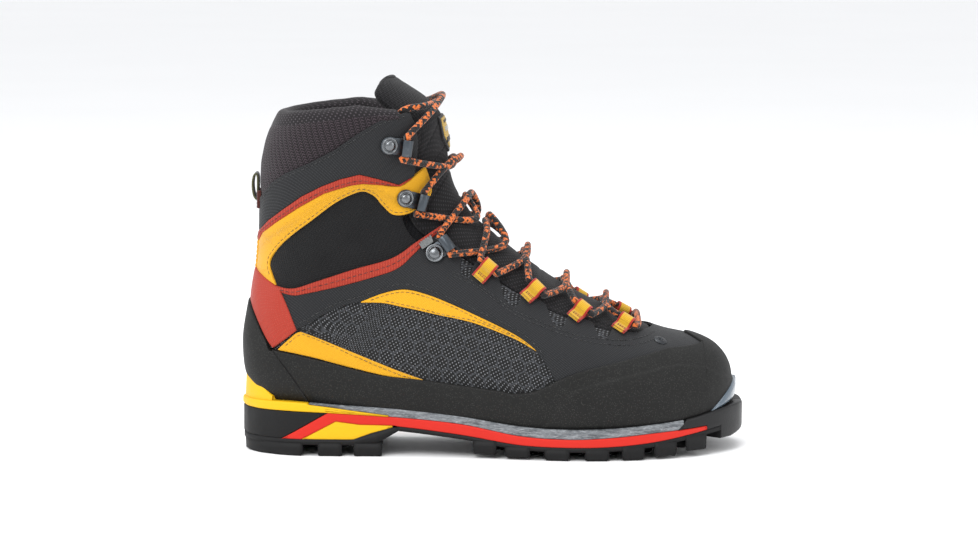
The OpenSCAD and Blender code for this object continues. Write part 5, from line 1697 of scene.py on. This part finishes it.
def hook_piece(name, at, side, reach, width):
    """A plate that runs out from under the rivet and curls back over the lace."""
    r = CHANNEL + PLATE / 2
    flat = [(x, PLATE / 2) for x in (0.0, 2.5, 5.0, reach - 0.8)]
    turns = [math.radians(t) for t in range(-90, 156, 18)]
    route = flat + [(reach + r * math.cos(t), PLATE + CHANNEL + r * math.sin(t)) for t in turns]
    ups = [(0, 1)] * len(flat) + [(-math.cos(t), -math.sin(t)) for t in turns]
    origin, x, y, n = at
    p = np.array([origin + a * x + b * n for a, b in route])
    u = np.array([a * x + b * n for a, b in ups])
    piece = sweep(name, p, u, ribbon_profile(width, PLATE, 0.35), 90)
    disc = lathe(name + "_disc", at, [(5.2, 0), (5.4, 0.2), (5.4, PLATE - 0.2), (5.2, PLATE)], side, 48)
    return join(name, [piece, disc])


def rivet_piece(name, at, side, r=5.0):
    k = r / 5
    prof = [(5.0, 0.0), (5.05, 0.35), (4.85, 0.75), (4.4, 0.92), (3.95, 0.75), (3.7, 0.45), (3.45, 0.4),
            (3.25, 0.75), (3.0, 1.2), (2.5, 1.68), (1.8, 2.02), (0.9, 2.2), (0.02, 2.24)]
    return lathe(name, at, [(a * k, PLATE + b) for a, b in prof], side, 56)


def cut_plate(name, at, side, outline, z0, z1):
    p = np.asarray(outline, float)
    rings = [np.column_stack([p, np.full(len(p), z)]) for z in (z0, z1)]
    m = len(p)
    faces = grid_faces(2, m, wrap=True) + [list(range(m)), list(range(m, 2 * m))]
    return bevelled(outward(make(name, set_on(at, np.stack(rings), side), faces, smooth=False)), 0.22)


upper_hooks, upper_rivets, lock_pieces, lock_rivets, clips, loops, tacks, eyelets = ([] for _ in range(8))
TEETH = [
    [-4, -2.6], [4, -2.6], [5.2, 3.4], [4.3, 4.2], [3.6, 2.6], [2.8, 4.4], [2.0, 2.7], [1.2, 4.6],
    [0.4, 2.8], [-0.4, 4.6], [-1.2, 2.7], [-2.0, 4.4], [-2.8, 2.6], [-3.6, 4.0]]
for side, tag in BOTH:
    for i, (x, z, turn) in enumerate(HOOKS):
        at = local(x, z, side, ON_TOP, turn)
        upper_hooks.append(hook_piece("hook_%d_%s" % (i, tag), at, side, HOOK_REACH, HOOK_WIDTH))
        upper_rivets.append(rivet_piece("rivet_%d_%s" % (i, tag), at, side))
    at = local(LOCK[0], LOCK[1], side, ON_TOP, LOCK[2])
    lock_pieces.append(hook_piece("lock_" + tag, at, side, LOCK_REACH, HOOK_WIDTH))
    lock_rivets.append(rivet_piece("lock_rivet_" + tag, at, side, 5.5))
    shifted = [[x - 1, 7.6 + 0.72 * y] for x, y in TEETH]
    clips.append(cut_plate("clip_" + tag, at, side, shifted, PLATE + 0.1, PLATE + 1.3))
    for i, (x, z, turn) in enumerate(LOOPS):
        origin, fx, fy, n = local(x, z, side, 1.25, turn)
        r = CHANNEL + 0.55
        turns = [math.radians(t) for t in range(-80, 200, 20)]
        curl = [(r * math.cos(t), r + 0.45 + r * math.sin(t)) for t in turns]
        route = [(-10.0, 0.35), (-6.5, 0.5), (-3.2, 0.55)] + curl + [(-4.2, 1.9), (-6.5, 1.55), (-9.4, 1.4)]
        p = np.array([origin + a * fx + b * n for a, b in route])
        centre = origin + (r + 0.45) * n
        ups = [n, n, n] + [unit(centre - q) for q in p[3:3 + len(turns)]] + [-n, -n, -n]
        loops.append(sweep("loop_%d_%s" % (i, tag), p, np.array(ups), ribbon_profile(LOOP_WIDTH, 0.95, 0.4),
                           110))
        for x, inward, up in ((-7.6, 0.2, 2.0), (-6.2, -0.2, 2.05)):
            row = [origin + a * fx + b * fy + up * n for a, b in ((x, -3.6), (x + inward, 0), (x, 3.6))]
            tacks.append((curve(np.array(row), np.linspace(0, 2, 30)), np.tile(n, (30, 1))))
    at = local(100, 67, side, 1.15)
    prof = [(1.1, 0.0), (1.15, 0.5), (1.5, 0.85), (2.1, 0.9), (2.7, 0.7), (3.1, 0.5), (3.9, 0.45), (4.2, 0.2),
            (4.3, 0.0)]
    eyelets.append(lathe("eyelet_" + tag, at, prof, side, 48))
done(join("speed_hooks_visual", upper_hooks), "hook_metal", "cuff", "speed_hooks")
done(join("speed_rivets_visual", upper_rivets), "rivet_metal", "cuff", "speed_hook_rivets")
done(join("lock_hooks_visual", lock_pieces), "hook_metal", "lower", "lock_hooks")
done(join("lock_rivets_visual", lock_rivets), "rivet_metal", "lower", "lock_hook_rivets")
done(join("lace_locks_visual", clips), "lock_metal", "lower", "lace_locks")
done(join("lace_loops_visual", loops), "loop_webbing", "lower", "lace_loops")
done(stitches("loop_tacks", tacks, 1.2, 0.3, 0.5, 0.3), "red_thread", "lower", slot="loop_webbing")
done(join("toe_eyelets_visual", eyelets), "eyelet_metal", "lower", "toe_eyelets")

# ---------------------------------------------------------------- the lace
STAYS = [(x, z, t, 0.0, LOOP_WIDTH, 1.0 + CHANNEL) for x, z, t in LOOPS[::-1]]
STAYS += [LOCK + (LOCK_REACH, HOOK_WIDTH, PLATE + CHANNEL)]
STAYS += [h + (HOOK_REACH, HOOK_WIDTH, PLATE + CHANNEL) for h in HOOKS[::-1]]
CROSSINGS = (6.7, 7.7, 8.8, 9.8, 11, 14.7)
DIPS = (0, 0, 0, 0.5, 0.75, 0)
stay_section = [float(place(h[0], h[1], LATERAL)[0]) for h in STAYS]


def ends(k, side):
    """The way through a channel, from its toe side to its ankle side."""
    x, z, turn, reach, length, high = STAYS[k]
    origin, fx, fy, n = local(x, z, side, ON_TOP + high, turn)
    half = length / 2
    steps = (-half - 2.3, -half - 0.8, 0, half + 0.8, half + 2.3)
    return [origin + reach * fx + side * t * fy for t in steps]


def point(s, a, d):
    return shell(np.array(float(s)), np.array(float(a)), d)


def over(k, side, top):
    """The way over the tongue from one side to the other."""
    c = CROSSINGS[k]
    sa, sb = c + 0.2 * (stay_section[k] - c), c - DIPS[k]
    h = LACE_R + 0.9
    return [point(sa, side * 19, h + 1.0), point(c, 0, h + 2 * LACE_R + 0.2 if top else h),
            point(sb, -side * 19, h + 1.0)]


def half_lace(start):
    """The route of one end of the lace, with the place in it where each stay begins."""
    route, marks = [], []
    for k in range(7):
        side = start * (1 if k % 2 == 0 else -1)
        marks.append(len(route))
        route += ends(k, side)
        if k < 6:
            top = side == LATERAL if k >= 4 else (k + (start == LATERAL)) % 2 == 0
            route += over(k, side, top)
    side = start
    lift = 2 * LACE_R + 0.5 if side == LATERAL else 0
    route += [point(21.2, side * 30, 3.8), point(21.6, 0, 3.4 + lift), point(21.9, -side * 30, 3.6),
              point(22.3, -side * 44, 1.2), point(22.2, -side * 50.5, -4.5), point(21.0, -side * 52.5, -7)]
    return route, marks


PER = 14                       # points of the fine route for each step of the coarse one
lateral_half, marks = half_lace(LATERAL)
medial_half, _ = half_lace(MEDIAL)
bar = [point(stay_section[0] - 0.35, a, LACE_R + 2.0) for a in (-24, -8, 8, 24)]
whole = medial_half[::-1] + bar + lateral_half
path = curve(np.array(whole), np.linspace(0, len(whole) - 1, (len(whole) - 1) * PER + 1))
zero = (len(medial_half) + len(bar)) * PER
cut_low, cut_high = marks[4] + 4, marks[5]
front = path[(len(medial_half) - 1 - cut_low) * PER:zero + cut_low * PER + 1]
done(tube("lace_forefoot_visual", front[::4], LACE_R), "lace_cord", "lower", "lace_forefoot",
     slot="lace_cord")
for start, tag in BOTH:
    if start == LATERAL:
        part = path[zero + cut_low * PER:zero + cut_high * PER + 1]
        end = path[zero + cut_high * PER:]
    else:
        part = path[(len(medial_half) - 1 - cut_high) * PER:(len(medial_half) - 1 - cut_low) * PER + 1]
        end = path[:(len(medial_half) - 1 - cut_high) * PER + 1]
    done(tube("lace_ankle_visual_" + tag, part[::4], LACE_R), "lace_cord", "ankle", "lace_ankle",
         slot="lace_cord")
    done(tube("lace_cuff_visual_" + tag, end[::4], LACE_R), "lace_cord", "cuff", "lace_cuff",
         slot="lace_cord")

# ---------------------------------------------------------------- the pull loop
back_x = -141.6
route = [(back_x, 151.4), (back_x - 1.6, 151.9), (back_x - 2.9, 154), (back_x - 3.6, 158),
         (back_x - 3.6, 162),
         (back_x - 2.9, 165.6), (back_x - 1.6, 167.0), (back_x - 0.6, 165.4), (back_x - 0.5, 161),
         (back_x - 0.6, 156), (back_x - 0.3, 152)]
p = np.array([[x, MID_Y, z] for x, z in route])
mid = np.array([back_x - 1.7, MID_Y, 159.0])
ups = unit((mid - p) * np.array([3.0, 0, 1.0]))
loop = sweep("pull_loop_visual", p, ups, ribbon_profile(14.0, 1.1, 0.45), 120)
done(loop, "pull_webbing", "pull_loop", "pull_loop")
base = Panel("pull_base", centred(20.05, 20.6, 10.5, 180), 16, 24, 0.2, 2.6, 0.7)
done(base.obj, "pull_base", "cuff", slot="pull_webbing")
done(stitches("pull_stitches", [base.seam(v=0.5, u=(0.4, 0.6)), base.seam(inset=1.6),
                                base.seam(inset=1.6, far=True)], 1.6, 0.5,
              0.5), "dark_thread", "cuff", slot="pull_webbing")

# ---------------------------------------------------------------- what stays as the CAD has it
for name, finish in (("shank", "shank_plastic"), ("lasting_board", "board"), ("toe_puff", "stiffener"),
                     ("heel_counter", "stiffener")):
    node = frame["nodes"][name]
    node.data.materials.clear()
    node.data.materials.append(paint[finish])

# ---------------------------------------------------------------- floor, light and camera
floor_paint = Paint("studio_floor")
cloud = floor_paint.noise(floor_paint.stretch(floor_paint.object, 0.4), 3.0)
grain_of_floor = floor_paint.noise(floor_paint.stretch(floor_paint.object, 0.002), 2.0)
floor_paint.finish(floor_paint.mix(cloud, (0.92, 0.92, 0.92, 1), (0.95, 0.95, 0.95, 1)),
                   floor_paint.between(cloud, 0.55, 0.65), grain_of_floor, 0.00002)
floor = make("studio_floor", np.array([[-9, -4, 0], [9, -4, 0], [9, 30, 0], [-9, 30, 0]]) / MM,
             [[0, 1, 2, 3]])
floor.data.materials.append(floor_paint.made)


def aim(obj, at, to):
    """Puts a light or a camera at a place and points it at another."""
    obj.location = at
    obj.rotation_euler = (Vector(to) - Vector(at)).to_track_quat("-Z", "Y").to_euler()


TARGET = (0, 0, 0.1)
LIGHTS = (("key", (-0.7, -1.3, 1.35), (1.2, 0.9), 23), ("top", (0.1, 0.1, 1.8), (1.6, 1.2), 16),
          ("right", (1.5, -0.8, 0.7), (0.8, 1.0), 8), ("left", (-1.6, -0.3, 0.6), (0.6, 1.0), 6))
for name, at, size, power in LIGHTS:
    data = bpy.data.lights.new(name, "AREA")
    data.shape = "RECTANGLE"
    data.size, data.size_y = size
    data.energy = power
    obj = bpy.data.objects.new(name, data)
    bpy.context.scene.collection.objects.link(obj)
    aim(obj, at, TARGET)
world = bpy.data.worlds.new("studio")
bpy.context.scene.world = world
world.use_nodes = True
sky = world.node_tree.nodes["Background"].inputs
sky["Color"].default_value = (0.97, 0.98, 1.0, 1)
sky["Strength"].default_value = 1.0

AZIMUTH, ELEVATION, FAR = 0.0, 7.0, 1.9
VIEW_WIDTH = 0.5868            # metres across the picture at the boot
SENSOR = 36
lens = bpy.data.cameras.new("camera")
camera = bpy.data.objects.new("camera", lens)
bpy.context.scene.collection.objects.link(camera)
look = Vector((-0.0027, -0.02, 0.1075))
az, el = math.radians(AZIMUTH), math.radians(ELEVATION)
away = Vector((math.sin(az) * math.cos(el), -math.cos(az) * math.cos(el), math.sin(el)))
camera.location = look + away * FAR
camera.rotation_euler = (-away).to_track_quat("-Z", "Y").to_euler()
lens.sensor_width = SENSOR
lens.lens = SENSOR * FAR / VIEW_WIDTH
lens.clip_end = 20
bpy.context.scene.camera = camera
bpy.context.scene.view_settings.view_transform = "Standard"
